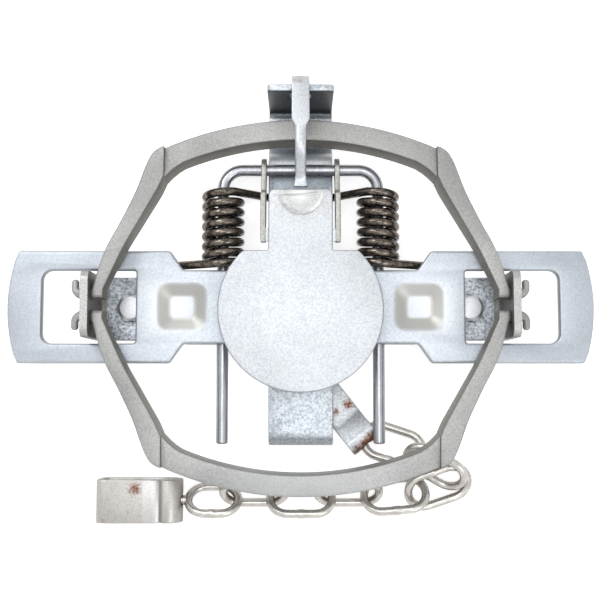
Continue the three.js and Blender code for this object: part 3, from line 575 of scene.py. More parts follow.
# The strong AO darkening between the coils is mostly painted shade
bronze = metal("bronze", (0.205, 0.175, 0.148), (0.05, 0.042, 0.036), metallic=0.9, rough=(0.16, 0.3),
               speckle=500, bump=0.08, dirt_and_shade=(0.012, 0.01, 0.009), dirt_and_shade_amount=1.0)
bright = metal("bright", (0.46, 0.475, 0.51), (0.38, 0.39, 0.42), metallic=0.85, rough=(0.24, 0.32),
               speckle=900, bump=0.01, stretch=(1, 0.15, 1), sides=(0.5, 0.5, 0.5),
               spots=[(-40, 59, 16, 5, 0.4, PALE_RUST), (40, 59, 16, 5, 0.4, PALE_RUST),
                      (32, -55.5, 13.6, 2.4, 0.8, RUST)])
chain_wire = metal("chain_wire", (0.78, 0.75, 0.71), (0.58, 0.55, 0.52), metallic=0.7, rough=(0.2, 0.32),
                   speckle=260, bump=0.03, dirt_and_shade=(0.16, 0.13, 0.10), dirt_and_shade_amount=0.6,
                   sides=(0.48, 0.45, 0.42),
                   spots=[(29, -56, 5, 4, 0.9, SMUDGE), (47, -60, 6, 2.5, 0.7, PALE_RUST),
                          (67, -70, 6, 2.5, 0.6, PALE_RUST), (29.4, -77, 5, 2, 0.5, PALE_RUST),
                          (-28.7, -77.2, 6, 2.5, 0.7, PALE_RUST), (-47.5, -78.7, 6.7, 2, 0.6, RUST)])
# The very dark sides of the bolt heads are painted shade
bright_zinc = metal("bright_zinc", (0.86, 0.88, 0.92), (0.74, 0.76, 0.80), metallic=0.5, rough=(0.3, 0.42),
                    speckle=1500, bump=0.06, sides=(0.16, 0.16, 0.17))
strap_steel = metal("strap_steel", (0.69, 0.67, 0.64), (0.54, 0.52, 0.50), metallic=0.45, rough=(0.3, 0.42),
                    speckle=1300, bump=0.06, blotch=70, blotch_dark=0.16, sides=(0.48, 0.46, 0.43),
                    # The frames paint a highlight on the bend beside the groove and shade in the groove
                    frames=[(60.4, -78.7, 4.0, 12, 0.01, 0.3, (0.80, 0.81, 0.82)),
                            (55.4, -78.7, 2.4, 12, 0.01, 0.5, (0.40, 0.39, 0.38))],
                    spots=[(-67.3, -73.6, 13.3, 2.9, 0.95, RUST), (-70, -83.2, 13.4, 0.7, 0.5, PALE_RUST),
                           (-80, -86.2, 13.4, 1.2, 0.4, PALE_RUST)])
dog_steel = metal("dog_steel", (0.72, 0.75, 0.79), (0.54, 0.57, 0.61), metallic=0.5, rough=(0.3, 0.42),
                  speckle=1400, bump=0.08, sides=(0.42, 0.41, 0.40),
                  spots=[(0, 91, 33, 2.4, 0.75, PALE_RUST), (0, 88.5, 36, 1.3, 0.4, PALE_RUST)])


def dress(obj, material):
    obj.data.materials.clear()
    obj.data.materials.append(material)


def finish_piece(obj, material, body, nodes):
    dress(obj, material)
    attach(obj, body)
    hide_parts(*nodes)


# Lever, drawn for the right side
LEVER_HALF_SPAN = 119.3
LEVER_CORNER = 115.4
LEVER_HALF_WIDTH = 22.95
LEVER_SHOULDER = 53.2
LEVER_NECK = 47.7
LEVER_NECK_HALF = 15.05
LEVER_END = 27.5
LEVER_RADII = [1.2, 2.5, 2.0, 1.4]
LEVER_BULGE_STEPS = 12
ROLL_WIDTH = 1.05
ROLL_DEPTH = 1.2
WINDOW_IN = 67
WINDOW_OUT = 105.1
WINDOW_HALF = 14.9
WINDOW_RADII = (4, 4, 1.2, 1.2)
WINDOW_ROLL_SHARE = 0.9
DIMPLE_X = 48.3
DIMPLE_DEPTH = 2.2
DIMPLE_DEPTH_BELOW = 1.8
# Length, width and corner radius
DIMPLE_RIM = (21.6, 20.8, 5.4)
DIMPLE_FLOOR = (9.8, 8.2, 1.8)
# From the rim to the floor: share of the way in, and of the depth
DIMPLE_PROFILE = ((0, 0), (0.08, 0.02), (0.2, 0.12), (0.75, 0.82), (0.88, 0.96), (1, 1))
# The flange under each side of the neck: across and up
FLANGE = [(13.6, 9.2), (15.0, 9.2), (15.0, 17.8), (13.6, 17.8)]
FLANGE_ENDS = (LEVER_END + OVERLAP, LEVER_NECK - 0.5)


def lever_outline():
    side = [
        (LEVER_END, -LEVER_NECK_HALF), (LEVER_NECK, -LEVER_NECK_HALF),
        (LEVER_SHOULDER, -LEVER_HALF_WIDTH), (LEVER_CORNER, -LEVER_HALF_WIDTH),
    ]
    rounded = round_corners(side + [(LEVER_CORNER, 0), (LEVER_END, 0)], LEVER_RADII + [0, 0])[:-2]
    bulge = []
    for i in range(1, LEVER_BULGE_STEPS):
        across = 2 * i / LEVER_BULGE_STEPS - 1
        rise = (LEVER_HALF_SPAN - LEVER_CORNER) * (1 - across ** 2)
        bulge.append((LEVER_CORNER + rise, LEVER_HALF_WIDTH * across))
    back = [(x, -y) for x, y in reversed(rounded)]
    return rounded + bulge + back


def dimple(z_top, depth):
    """A stack from the rim of the dimple down to its floor."""
    stack = []
    for share, drop in DIMPLE_PROFILE:
        length, width, radius = (between(a, b, share) for a, b in zip(DIMPLE_RIM, DIMPLE_FLOOR))
        x0, x1 = DIMPLE_X - length / 2, DIMPLE_X + length / 2
        loop = rounded_box(x0, x1, -width / 2, width / 2, (radius,) * 4)
        stack.append((loop, z_top - depth * drop))
    return stack


def lever_build():
    build = Build()
    outer = lever_outline()
    hole = list(reversed(rounded_box(WINDOW_IN, WINDOW_OUT, -WINDOW_HALF, WINDOW_HALF, WINDOW_RADII)))
    dish = dimple(LEVER_TOP, DIMPLE_DEPTH)
    sheet_skin(build, [
        rolled(outer, LEVER_TOP, ROLL_WIDTH, ROLL_DEPTH),
        rolled(hole, LEVER_TOP, ROLL_WIDTH * WINDOW_ROLL_SHARE, ROLL_DEPTH),
        list(reversed(dish)),
    ])
    sheet_skin(build, [dish[-1:]])
    under = dimple(LEVER_BOTTOM, DIMPLE_DEPTH_BELOW)
    sheet_skin(build, [[(loop, LEVER_BOTTOM)] for loop in (outer, hole, under[0][0])], flip=True)
    under_rings = [raised(loop, z) for loop, z in under]
    build.walls(under_rings)
    build.add(under_rings[-1], [tuple(range(len(under_rings[-1])))])
    for loop in (outer, hole):
        build.walls([raised(loop, LEVER_BOTTOM), raised(loop, LEVER_TOP - ROLL_DEPTH)])
    for side in (-1, 1):
        build.loft([[(x, side * y, z) for y, z in FLANGE] for x in FLANGE_ENDS])
    return build


for label, side in SIDES:
    build = lever_build()
    if side < 0:
        build.mirror_x()
    piece = weld(build.make(f"lever_{label}_sheet"))
    finish_piece(piece, zinc, f"lever_{label}", [f"lever_{label}"])


# Jaws, drawn with the pivot at the origin and the bar towards +Y
DROOP = math.radians(3)
ARM_FACE = 4.45
BAR_FACE = 1.45
JAW_BOTTOM = -9.8
EYE_BOTTOM = -4.2
BAR_OUTER_RADIUS = 134
BAR_CENTRE = 71.3 - BAR_OUTER_RADIUS
BAR_WIDTH = 8.5
CORNER_X = 55
CORNER_OUT = 59.5
CORNER_IN = 47.2
BAR_IN_AT_CORNER = 50.1
FILLET_X = 47
BAR_REACHES = [52.5, 50, 47.5] + [44 * (1 - i / 12) for i in range(13)]
EDGE_OUT = 1.1
EDGE_IN = 0.7
EDGE_BELOW = 0.8
EDGE_STEPS = 4
INNER_DRAFT = 0.1
EYE_DRAFT = 0.3
STEP_LENGTH = 0.15
DEEPEN_FROM = 3
DEEPEN_POWER = 0.8
FILLET_POWER = 1.6
# The round end of the arm: along, top and bottom of each section
EYE_ROUND = [(-2.1, 3.6, -4.1), (-1.3, 4.4, -4.15), (1, ARM_FACE, EYE_BOTTOM)]
EYE_X_OUT = 82.5
EYE_X_IN = 78.0
# Outer and inner plan points along the arm
ARM_ROWS = [
    (EYE_X_OUT, 1, EYE_X_IN, 1), (77.6, 16.8, 70.9, 16.8), (72.0, 27.9, 64.9, 27.9),
    (66.1, 40.5, 57.9, 40.5), (62.3, 51.0, 56.2, 44.0), (59.6, 56.5, 55.5, 45.7),
    (57.0, 58.7, 55.1, 46.6), (CORNER_X, CORNER_OUT, CORNER_X, CORNER_IN),
]
ARM_STEPS = 6
# The pin, with the hook that is bent on its end
PIN_LINE = [(80, 0), (87.0, 0)] + arc(87.4, 2.2, 2.2, -90, 0, 6) + [(89.6, 4.4), (89.6, 5.0), (89.6, 5.4)]
PIN_RADII = [2.35, 2.35, 2.2, 2.0, 1.8, 1.65, 1.55, 1.5, 1.45, 1.45, 1.2, 0.6]


def jaw_section(outer, inner, top, bottom, inner_draft=INNER_DRAFT):
    """A rounded casting section between two plan points."""
    outer, inner = Vector(outer), Vector(inner)
    across = (inner - outer).normalized()
    width = (inner - outer).length
    corners = [
        (0, top, EDGE_OUT, 180, 90), (width, top, EDGE_IN, 90, 0),
        (width + inner_draft, bottom, EDGE_BELOW, 0, -90), (0, bottom, EDGE_BELOW, -90, -180),
    ]
    ring = []
    for place, z, r, start, end in corners:
        cx = place + r if place == 0 else place - r
        cz = z - r if z == top else z + r
        for px, pz in arc(cx, cz, r, start, end, EDGE_STEPS):
            spot = outer + across * px
            ring.append((spot.x, spot.y, pz))
    return ring


def jaw_build():
    """Sections from the eye to the middle of the bar, mirrored, and the two pins."""
    build = Build()
    half = []
    for along, top, bottom in EYE_ROUND:
        half.append(jaw_section((EYE_X_OUT, along), (EYE_X_IN, along), top, bottom, EYE_DRAFT))
    for ox, oy, ix, iy in spline(ARM_ROWS, ARM_STEPS)[1:]:
        share = min(max((iy - DEEPEN_FROM) / (CORNER_IN - DEEPEN_FROM), 0), 1) ** DEEPEN_POWER
        half.append(jaw_section((ox, oy), (ix, iy), ARM_FACE, between(EYE_BOTTOM, JAW_BOTTOM, share)))
    step_x = CORNER_X - STEP_LENGTH
    half.append(jaw_section((step_x, CORNER_OUT), (step_x, CORNER_IN), BAR_FACE, JAW_BOTTOM))
    for reach in BAR_REACHES:
        outer = BAR_CENTRE + math.sqrt(BAR_OUTER_RADIUS ** 2 - reach ** 2)
        inner = BAR_CENTRE + math.sqrt((BAR_OUTER_RADIUS - BAR_WIDTH) ** 2 - reach ** 2)
        if reach > FILLET_X:
            share = (reach - FILLET_X) / (CORNER_X - FILLET_X)
            inner += (CORNER_IN - BAR_IN_AT_CORNER) * share ** FILLET_POWER
        half.append(jaw_section((reach, outer), (reach, inner), BAR_FACE, JAW_BOTTOM))
    other = [[(-x, y, z) for x, y, z in ring] for ring in reversed(half[:-1])]
    build.loft(half + other)
    for side in (-1, 1):
        build.tube([(side * x, y, 0) for x, y in PIN_LINE], PIN_RADII, sides=18)
    return build


def jaw_place(lower):
    """Puts a jaw on its pivot, drooping a little. The lower one is the upper one turned round."""
    turn = -1 if lower else 1

    def change(v):
        y = v.y * math.cos(DROOP) + v.z * math.sin(DROOP)
        z = -v.y * math.sin(DROOP) + v.z * math.cos(DROOP)
        return Vector((turn * v.x, turn * (y + PIVOT_Y), z + PIVOT_Z))
    return change


for label in ("upper", "lower"):
    build = jaw_build()
    build.move(jaw_place(label == "lower"))
    piece = weld(build.make(f"jaw_{label}_casting"))
    finish_piece(piece, cast, f"jaw_{label}", [f"jaw_{label}"])


# Springs, drawn for the right side
SPRING_WIRE = 3.5
SPRING_RADIUS = 7.2
SPRING_CENTRE = 32
SPRING_PITCH = 4.15
SPRING_CURLS = 7
SPRING_CURL_STEPS = 26
SPRING_FIRST_Y = 17.6
LEVER_LEG_ANGLE = math.radians(27.2)
LEVER_LEG_REACH = 19.5
FRAME_LEG_ANGLE = math.radians(43.6)
FRAME_LEG_REACH = 21.2


def spring_path():
    """From the tip of the lever leg, round all the curls, to the tip of the frame leg."""
    total = SPRING_CURLS * 2 * math.pi + FRAME_LEG_ANGLE + LEVER_LEG_ANGLE
    last_y = SPRING_FIRST_Y + SPRING_PITCH * total / (2 * math.pi)

    def tip(angle, reach, y, sign):
        run = reach - SPRING_RADIUS * math.sin(angle)
        z = ROD_Z + SPRING_RADIUS * math.cos(angle) - run * math.tan(angle)
        return (SPRING_CENTRE + sign * reach, y, z)

    points = [tip(LEVER_LEG_ANGLE, LEVER_LEG_REACH, SPRING_FIRST_Y, 1)]
    steps = SPRING_CURLS * SPRING_CURL_STEPS
    for i in range(steps + 1):
        turned = total * i / steps
        angle = LEVER_LEG_ANGLE - turned
        points.append((
            SPRING_CENTRE + SPRING_RADIUS * math.sin(angle),
            SPRING_FIRST_Y + SPRING_PITCH * turned / (2 * math.pi),
            ROD_Z + SPRING_RADIUS * math.cos(angle),
        ))
    points.append(tip(FRAME_LEG_ANGLE, FRAME_LEG_REACH, last_y, -1))
    return points


for label, side in SIDES:
    build = Build()
    build.tube(spring_path(), SPRING_WIRE / 2, sides=14)
    if side < 0:
        build.mirror_x()
    piece = weld(build.make(f"coil_spring_{label}_wire"))
    dress(piece, bronze)
    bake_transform(piece)
    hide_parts(f"coil_spring_{label}")


# Spring rod
ROD_RADIUS = 2.4
ROD_LEG_X = 32
ROD_BEND = 8
ROD_CROSS_Y = 57.4
ROD_END_Y = -55.4
ROD_TIP_LENGTH = 0.5
ROD_TIP_RADIUS = 2.0

build = Build()
corner = arc(ROD_LEG_X - ROD_BEND, ROD_CROSS_Y - ROD_BEND, ROD_BEND, 0, 90, 12)
right = [(ROD_LEG_X, ROD_END_Y), (ROD_LEG_X, ROD_END_Y + ROD_TIP_LENGTH)] + corner
path = right + [(-x, y) for x, y in reversed(right)]
radii = [ROD_TIP_RADIUS] + [ROD_RADIUS] * (len(path) - 2) + [ROD_TIP_RADIUS]
build.tube(raised(path, ROD_Z), radii, sides=20)
finish_piece(weld(build.make("spring_rod_wire")), bright, "frame", ["spring_rod"])


# Chain, at the places that the part states: x, y, heading and roll of each link
CHAIN_WIRE = 3.5
LINK_LENGTH = 29
LINK_WIDTH = 17.5
LINKS = [
    (38.5, -56.4, -18, -22), (55.5, -65.1, -30, 46), (56.9, -73.5, 18.4, 21), (38.9, -76.7, 4.6, -31),
    (19.5, -75.4, 0, 46), (0.2, -78.3, 0, -36), (-19.1, -75.4, 0, 46),
]
EYE = (-35.9, -78.7, 0, -45)
EYE_LENGTH = 24
SHANK_RADIUS = 2
SHANK_LENGTH = 9.2
# The head on the shank: how far out each section is, and its radius
HEAD_ENDS = (7.9, 8.3, 9.8, 10.1)
HEAD_RADII = [3.4, 3.9, 3.9, 3.2]
LINK_BEND_STEPS = 14
LINK_RUN_STEPS = 9
LINK_SLIM = 0.02
WELD_LENGTH = 1.1
WELD_RISE = 0.25
LONG_SIDE = 6


def link_path(length):
    radius = (LINK_WIDTH - CHAIN_WIRE) / 2
    straight = (length - LINK_WIDTH) / 2
    points = []
    for end in (1, -1):
        start = -90 if end > 0 else 90
        points += arc(end * straight, 0, radius, start, start + 180, LINK_BEND_STEPS)
        for k in range(1, LINK_RUN_STEPS):
            points.append((end * straight * (1 - 2 * k / LINK_RUN_STEPS), end * radius))
    return points


def link_radii(path, roll):
    """The wire, a little thicker at the weld in the middle of the long side that lies higher."""
    radii = []
    for x, y in path:
        near = math.exp(-(x / WELD_LENGTH) ** 2) if y * roll > 0 and abs(y) > LONG_SIDE else 0
        radii.append(CHAIN_WIRE / 2 - LINK_SLIM + WELD_RISE * near)
    return radii


def link_build(length, roll):
    build = Build()
    path = link_path(length)
    build.tube(raised(path, 0), link_radii(path, roll), sides=16, closed=True)
    return build


def place_loop(build, x, y, heading, roll):
    """Lays a loop on the ground, rolled about its length and turned to its heading."""
    h, r = math.radians(heading), math.radians(roll)
    z = ((LINK_WIDTH - CHAIN_WIRE) * abs(math.sin(r)) + CHAIN_WIRE) / 2

    def change(v):
        across = v.y * math.cos(r) - v.z * math.sin(r)
        up = v.y * math.sin(r) + v.z * math.cos(r)
        return Vector((
            x + v.x * math.cos(h) - across * math.sin(h),
            y + v.x * math.sin(h) + across * math.cos(h),
            z + up,
        ))
    build.move(change)


for i, (x, y, heading, roll) in enumerate(LINKS, 1):
    build = link_build(LINK_LENGTH, roll)
    place_loop(build, x, y, heading, roll)
    piece = weld(build.make(f"chain_link_{i}_wire"))
    finish_piece(piece, chain_wire, f"link_{i}", [f"chain_link_{i}"])

build = link_build(EYE_LENGTH, EYE[3])
build.tube([(-EYE_LENGTH / 2 - x, 0, 0) for x in (-1, SHANK_LENGTH)], SHANK_RADIUS, sides=20)
build.tube([(-EYE_LENGTH / 2 - x, 0, 0) for x in HEAD_ENDS], HEAD_RADII, sides=24)
place_loop(build, *EYE)
finish_piece(weld(build.make("swivel_eye_wire")), chain_wire, "eye", ["swivel_eye"])


# Cross member, bent from strip, with the upright dog post
CROSS_WIDTH = 26.7
STRIP = 2.95
STRIP_EDGE = 0.45
CROSS_LINE = [
    (-55.1, 0.05), (-55.1, 6.1), (34, 6.1), (43, 9.4), (63.7, 9.4), (68.5, 1.5), (86.5, 1.5), (86.5, 14),
]
CROSS_BENDS = [4.3, 8, 8, 4, 3, 3]
DOG_POST_LOW = 8
DOG_POST_TOP = 33.55
DOG_POST_RADII = (0.6, 1.6, 1.6, 0.6)
DOG_POST_EDGE = 0.5
SLOT = (-4.3, 4.3, 23.15, 29.1)
SLOT_RADIUS = 1


def facing_y(u, along, up):
    return Vector((-u, along, up))


build = Build()
cross_section = bar_section(CROSS_WIDTH, STRIP, STRIP_EDGE, STRIP_EDGE)
strip_loft(build, bent(CROSS_LINE, CROSS_BENDS), cross_section, facing_y)
upright = rounded_box(-CROSS_WIDTH / 2, CROSS_WIDTH / 2, DOG_POST_LOW, DOG_POST_TOP, DOG_POST_RADII)
slot_loop = rounded_box(*SLOT, (SLOT_RADIUS,) * 4)
plate_solid(build, upright, [slot_loop], 0, STRIP, DOG_POST_EDGE,
            lambda x, y, z: Vector((x, DOG_PIVOT_Y + STRIP / 2 - z, y)))
finish_piece(weld(build.make("cross_member_strip")), strip, "frame", ["cross_member"])


# Dog: a flat strip rolled to a ring, narrowed to a rounded stem that comes down to the pan
DOG_LEVEL = 35.5
DOG_TIP_Z = 27.6
DOG_LINE = [(85.6, DOG_LEVEL), (61.2, DOG_LEVEL), (51, DOG_TIP_Z), (47.7, DOG_TIP_Z)]
DOG_BENDS = [9, 5]
DOG_THICKNESS = 2.05
RING_MIDDLE = 4.15
RING_START = 78
RING_TURN = 345
RING_STEPS = 32
RING_TRAVEL = 26
# Width and edge roundings of the strip, and of the stem, and what the flare at the tip adds
STRIP_SHAPE = (7.1, 0.5, 0.5)
STEM_SHAPE = (4.4, 1.85, 0.98)
FLARE_SHAPE = (0.9, -1.3, -0.4)
STEM_FROM = 73.2
STEM_TAPER = 3.5
FLARE_FROM = 52.3
FLARE_TAPER = 3.6


def dog_section(travel, y):
    """The strip's section so far along it: flat in the ring, then easing to the stem."""
    ease = flare = 0
    if travel >= RING_TRAVEL and y <= STEM_FROM:
        share = min(max((STEM_FROM - y) / STEM_TAPER, 0), 1)
        ease = share * share * (3 - 2 * share)
        flare = min(max((FLARE_FROM - y) / FLARE_TAPER, 0), 1)
    sizes = zip(STRIP_SHAPE, STEM_SHAPE, FLARE_SHAPE)
    width, round_x, round_z = (between(flat, stem, ease) + more * flare for flat, stem, more in sizes)
    return bar_section(width, DOG_THICKNESS, round_x, round_z, 6)


ring_line = []
for k in range(RING_STEPS + 1):
    a = math.radians(RING_START - RING_TURN * k / RING_STEPS)
    ring_line.append((DOG_PIVOT_Y + RING_MIDDLE * math.cos(a), DOG_PIVOT_Z + RING_MIDDLE * math.sin(a)))
ring_line.reverse()
dog_line = ring_line + bent(DOG_LINE, DOG_BENDS, 10)
dense = []
for (y, z), (next_y, next_z) in zip(dog_line, dog_line[1:]):
    pieces = max(1, round(math.hypot(next_y - y, next_z - z)))
    dense += [(y + (next_y - y) * k / pieces, z + (next_z - z) * k / pieces) for k in range(pieces)]
dense.append(dog_line[-1])
travel = 0
dog_sections = []
for i, (y, z) in enumerate(dense):
    step_back = dense[i - 1] if i else dense[0]
    travel += math.hypot(y - step_back[0], z - step_back[1])
    dog_sections.append(dog_section(travel, y))
build = Build()
strip_loft(build, dense, dog_sections, facing_y)
finish_piece(weld(build.make("dog_strip")), dog_steel, "dog", ["dog"])


# Pan: a stamped disc and shank with a rolled edge, a pressed half moon and two ears
PAN_RADIUS = 33.15
PAN_CENTRE_Y = -1.6
PAN_CUT_Y = 22.1
PAN_CUT_TRIM = 1.2
PAN_CUT_END = 0.9
PAN_CUT_FALL = 0.02
PAN_CUT_CORNER = 0.5
PAN_ROLL_WIDTH = 0.7
PAN_ROLL_DEPTH = 0.9
PAN_LOW_ROLL = 0.4
SHANK_HALF = 12.9
SHANK_END = 46.95
SHANK_CORNER = 2.6
MOON_RADIUS = 9.3
MOON_EDGE = 1.1
MOON_LEAN = 0.25
# From the rim to the floor: share of the way in, and drop
MOON_PROFILE = ((0, 0), (0.04, 0.05), (0.16, 0.42), (0.24, 0.6), (0.5, 0.72), (0.8, 0.75))
EAR_IN = 14.05
EAR_OUT = 16.15
EAR_ROOT = 25.7
EAR_EDGE = 0.35
EAR_DEPTH = 3.3
EAR_TOP = PAN_TOP - 0.5
EAR_TOP_END = 45.4
EAR_NECK = 48
EAR_NECK_LOW = ROD_Z + 1.1
EAR_NECK_HIGH = ROD_Z + 6.3
LUG_RADIUS = 4.85
LUG_BORE_GAP = 0.25
WEB_ENDS = (EAR_ROOT + OVERLAP, 31)
WEB_X = 13.6
WEB_DROP = 1.5
WEB_WIDTH = 3.4
WEB_HEIGHT = 1.3
WEB_EDGE = 0.3


def pan_outline():
    cut_angle = math.degrees(math.asin((PAN_CUT_Y - PAN_CENTRE_Y) / PAN_RADIUS))
    start, end = 180 - cut_angle + PAN_CUT_TRIM, 360 + cut_angle - PAN_CUT_TRIM
    disc = arc(0, PAN_CENTRE_Y, PAN_RADIUS, start, end, 84)
    reach = PAN_RADIUS * math.cos(math.radians(cut_angle)) - PAN_CUT_END
    half = [(reach, PAN_CUT_Y - PAN_CUT_FALL), (SHANK_HALF + PAN_CUT_CORNER, PAN_CUT_Y)]
    half.append((SHANK_HALF, PAN_CUT_Y + PAN_CUT_CORNER))
    half += arc(SHANK_HALF - SHANK_CORNER, SHANK_END - SHANK_CORNER, SHANK_CORNER, 0, 90, 6)
    return disc + half + [(-x, y) for x, y in reversed(half)]


build = Build()
outline = pan_outline()
dish = []
for share, drop in MOON_PROFILE:
    # A half circle that opens towards the end of the shank
    y = SHANK_END - MOON_EDGE - MOON_LEAN * MOON_RADIUS * share
    moon = arc(0, y, MOON_RADIUS * (1 - share), 180, 360, 22)
    dish.append((list(reversed(moon)), PAN_TOP - drop))
sheet_skin(build, [rolled(outline, PAN_TOP, PAN_ROLL_WIDTH, PAN_ROLL_DEPTH), dish])
floor_loop, floor_z = dish[-1]
sheet_skin(build, [[(list(reversed(floor_loop)), floor_z)]])
low_roll = rolled(outline, PAN_TOP, PAN_LOW_ROLL, PAN_LOW_ROLL, PLATE_ROLL_STEPS)
sheet_skin(build, [[(ring, PAN_TOP + PAN_BOTTOM - z) for ring, z in low_roll]], flip=True)
build.walls([raised(outline, PAN_BOTTOM + PAN_LOW_ROLL), raised(outline, PAN_TOP - PAN_ROLL_DEPTH)])
lug = arc(ROD_CROSS_Y, ROD_Z, LUG_RADIUS, -168, 111, 20)
ear = [(EAR_ROOT, EAR_TOP), (EAR_ROOT, PAN_BOTTOM - EAR_DEPTH), (EAR_NECK, EAR_NECK_LOW)] + lug
ear += [(EAR_NECK, EAR_NECK_HIGH), (EAR_TOP_END, EAR_TOP)]
bore = arc(ROD_CROSS_Y, ROD_Z, ROD_RADIUS + LUG_BORE_GAP, 0, 345, 23)
web = bar_section(WEB_WIDTH, WEB_HEIGHT, WEB_EDGE, WEB_EDGE, 2)
for side in (-1, 1):
    low, high = sorted((side * EAR_IN, side * EAR_OUT))
    plate_solid(build, ear, [bore], low, high, EAR_EDGE, lambda x, y, z: Vector((z, x, y)))
    build.loft([[(side * WEB_X + u, y, PAN_TOP - WEB_DROP + v) for u, v in web] for y in WEB_ENDS])
pan = weld(build.make("pan_sheet"))
finish_piece(pan, pan_zinc, "pan", ["pan"])
pan.data.materials.append(ear_steel)
for face in pan.data.polygons:
    if abs(face.center.x) > (EAR_IN - OVERLAP) * MM and face.center.y > EAR_ROOT * MM:
        face.material_index = 1


# Swivel tab
TAB_ANGLE = math.radians(-51.8)
TAB_RIVET_Y = -21.5
TAB_LINE = [(-6.2, 3.1), (31, 3.1), (40, 8.3), (43.3, 8.3), (43.3, 0.35)]
TAB_BENDS = [6, 3, 1.6]
TAB_WIDTH = 13.2
TAB_THICKNESS = 2.4
TAB_EDGE = 0.5
TAB_HOLE = (39.5, 46)
TAB_HOLE_RADIUS = 3.65
TAB_HOLE_Z = 5.2


def along_tab(u, along, up):
    """A place on the tab: across it, along it from the rivet, and up."""
    return Vector((
        along * math.cos(TAB_ANGLE) - u * math.sin(TAB_ANGLE),
        TAB_RIVET_Y + along * math.sin(TAB_ANGLE) + u * math.cos(TAB_ANGLE),
        up,
    ))


build = Build()
tab_section = bar_section(TAB_WIDTH, TAB_THICKNESS, TAB_EDGE, TAB_EDGE)
strip_loft(build, bent(TAB_LINE, TAB_BENDS), tab_section, lambda u, along, up: along_tab(-u, along, up))
piece = build.make("swivel_tab_strip")
cutter = Build()
cutter.tube([along_tab(0, along, TAB_HOLE_Z) for along in TAB_HOLE], TAB_HOLE_RADIUS, sides=28)
cut(piece, cutter.make("tab_hole"))
finish_piece(piece, tab_steel, "tab", ["swivel_tab"])


# Strap of the end swivel, drawn from its right end, with a groove across its top
STRAP_HALF = 6.7
STRAP_LENGTH = 35
STRAP_RIGHT = -48.2
STRAP_Y = -78.7
STRAP_THICK = 2.4
STRAP_ROUND = 6.65
STRAP_HALF_WIDTH = 8.75
STRAP_EDGE = 0.5
STRAP_CORNER = 2.95
STRAP_CORNER_Y = 3.7
STRAP_INNER = 4.3
STRAP_INNER_CORNER = 1.9
STRAP_GROOVE = [
    (-7.9, 6.55), (-8.2, 6.1), (-8.4, 5.2), (-8.6, 5.2),
    (-8.9, 5.5), (-9.5, 6.05), (-10.8, 6.5), (-12.8, 6.65),
]
STRAP_HOLE = (-5, 2)
STRAP_HOLE_RADIUS = 3.2

outside = arc(-STRAP_HALF, 0, STRAP_ROUND, -90, 90, 16)
outside += STRAP_GROOVE
outside += arc(STRAP_CORNER - STRAP_LENGTH, STRAP_CORNER_Y, STRAP_CORNER, 90, 180, 6)
outside += arc(STRAP_CORNER - STRAP_LENGTH, -STRAP_CORNER_Y, STRAP_CORNER, 180, 270, 6)
inside = arc(-STRAP_HALF, 0, STRAP_HALF - STRAP_THICK, -90, 90, 14)
inside += arc(STRAP_INNER - STRAP_LENGTH, STRAP_HALF - STRAP_INNER, STRAP_INNER_CORNER, 90, 180, 5)
inside += arc(STRAP_INNER - STRAP_LENGTH, STRAP_INNER - STRAP_HALF, STRAP_INNER_CORNER, 180, 270, 5)
build = Build()
plate_solid(build, outside, [inside], -STRAP_HALF_WIDTH, STRAP_HALF_WIDTH, STRAP_EDGE,
            lambda x, y, z: Vector((STRAP_RIGHT + x, STRAP_Y - z, STRAP_HALF + y)))
piece = build.make("swivel_strap_loop")
cutter = Build()
cutter.tube([(STRAP_RIGHT + x, STRAP_Y, STRAP_HALF) for x in STRAP_HOLE], STRAP_HOLE_RADIUS, sides=28)
cut(piece, cutter.make("strap_hole"))
finish_piece(piece, strap_steel, "strap", ["swivel_strap"])


# Post bolts: hexagon heads with a chamfered round top
BOLT_X = 69.7
BOLT_FLATS = 11.1
BOLT_LOW = 11.2
BOLT_HIGH = 15.15
BOLT_SIDES = 72
# How high each ring of the head is, and the radius that it doesn't pass
BOLT_RINGS = (
    (BOLT_LOW, 6.1), (BOLT_LOW + 0.3, 9), (BOLT_HIGH - 1.9, 9), (BOLT_HIGH - 1.75, 6.0),
    (BOLT_HIGH - 1.5, 5.5), (BOLT_HIGH - 0.25, 4.6), (BOLT_HIGH - 0.06, 4.4), (BOLT_HIGH, 4.1),
)
BOLT_SHANK = (0.35, 0.8, BOLT_LOW + OVERLAP)
BOLT_SHANK_RADII = [2.7, 3.15, 3.15]

for label, side in SIDES:
    build = Build()
    rings = []
    for z, limit in BOLT_RINGS:
        ring = []
        for k in range(BOLT_SIDES):
            a = 2 * math.pi * k / BOLT_SIDES
            hexagon = BOLT_FLATS / 2 / math.cos(a % (math.pi / 3) - math.pi / 6)
            reach = min(hexagon, limit)
            ring.append((side * BOLT_X + reach * math.cos(a), reach * math.sin(a), z))
        rings.append(ring)
    build.loft(rings)
    build.tube([(side * BOLT_X, 0, z) for z in BOLT_SHANK], BOLT_SHANK_RADII, sides=24)
    piece = weld(build.make(f"post_bolt_{label}_head"))
    finish_piece(piece, bright_zinc, "frame", [f"post_bolt_{label}"])


# Carried over nodes: their own materials, and edges bevelled to the width given
CARRIED = {
    "base_plate": (plate_steel, 0.5), "centre_rivet": (strip, 0.5), "swivel_rivet": (strip, 0.3),
    "jaw_post_left": (post_steel, 0.8), "jaw_post_right": (post_steel, 0.8),
    "post_nut_left": (nut_zinc, 0.4), "post_nut_right": (nut_zinc, 0.4),
}
for name, (material, width) in CARRIED.items():
    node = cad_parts[name]
    dress(node, material)
    bevel = node.modifiers.new("edges", "BEVEL")
    bevel.width = width * MM
    bevel.segments = 3
    bevel.limit_method = "ANGLE"
    bevel.angle_limit = math.radians(30)


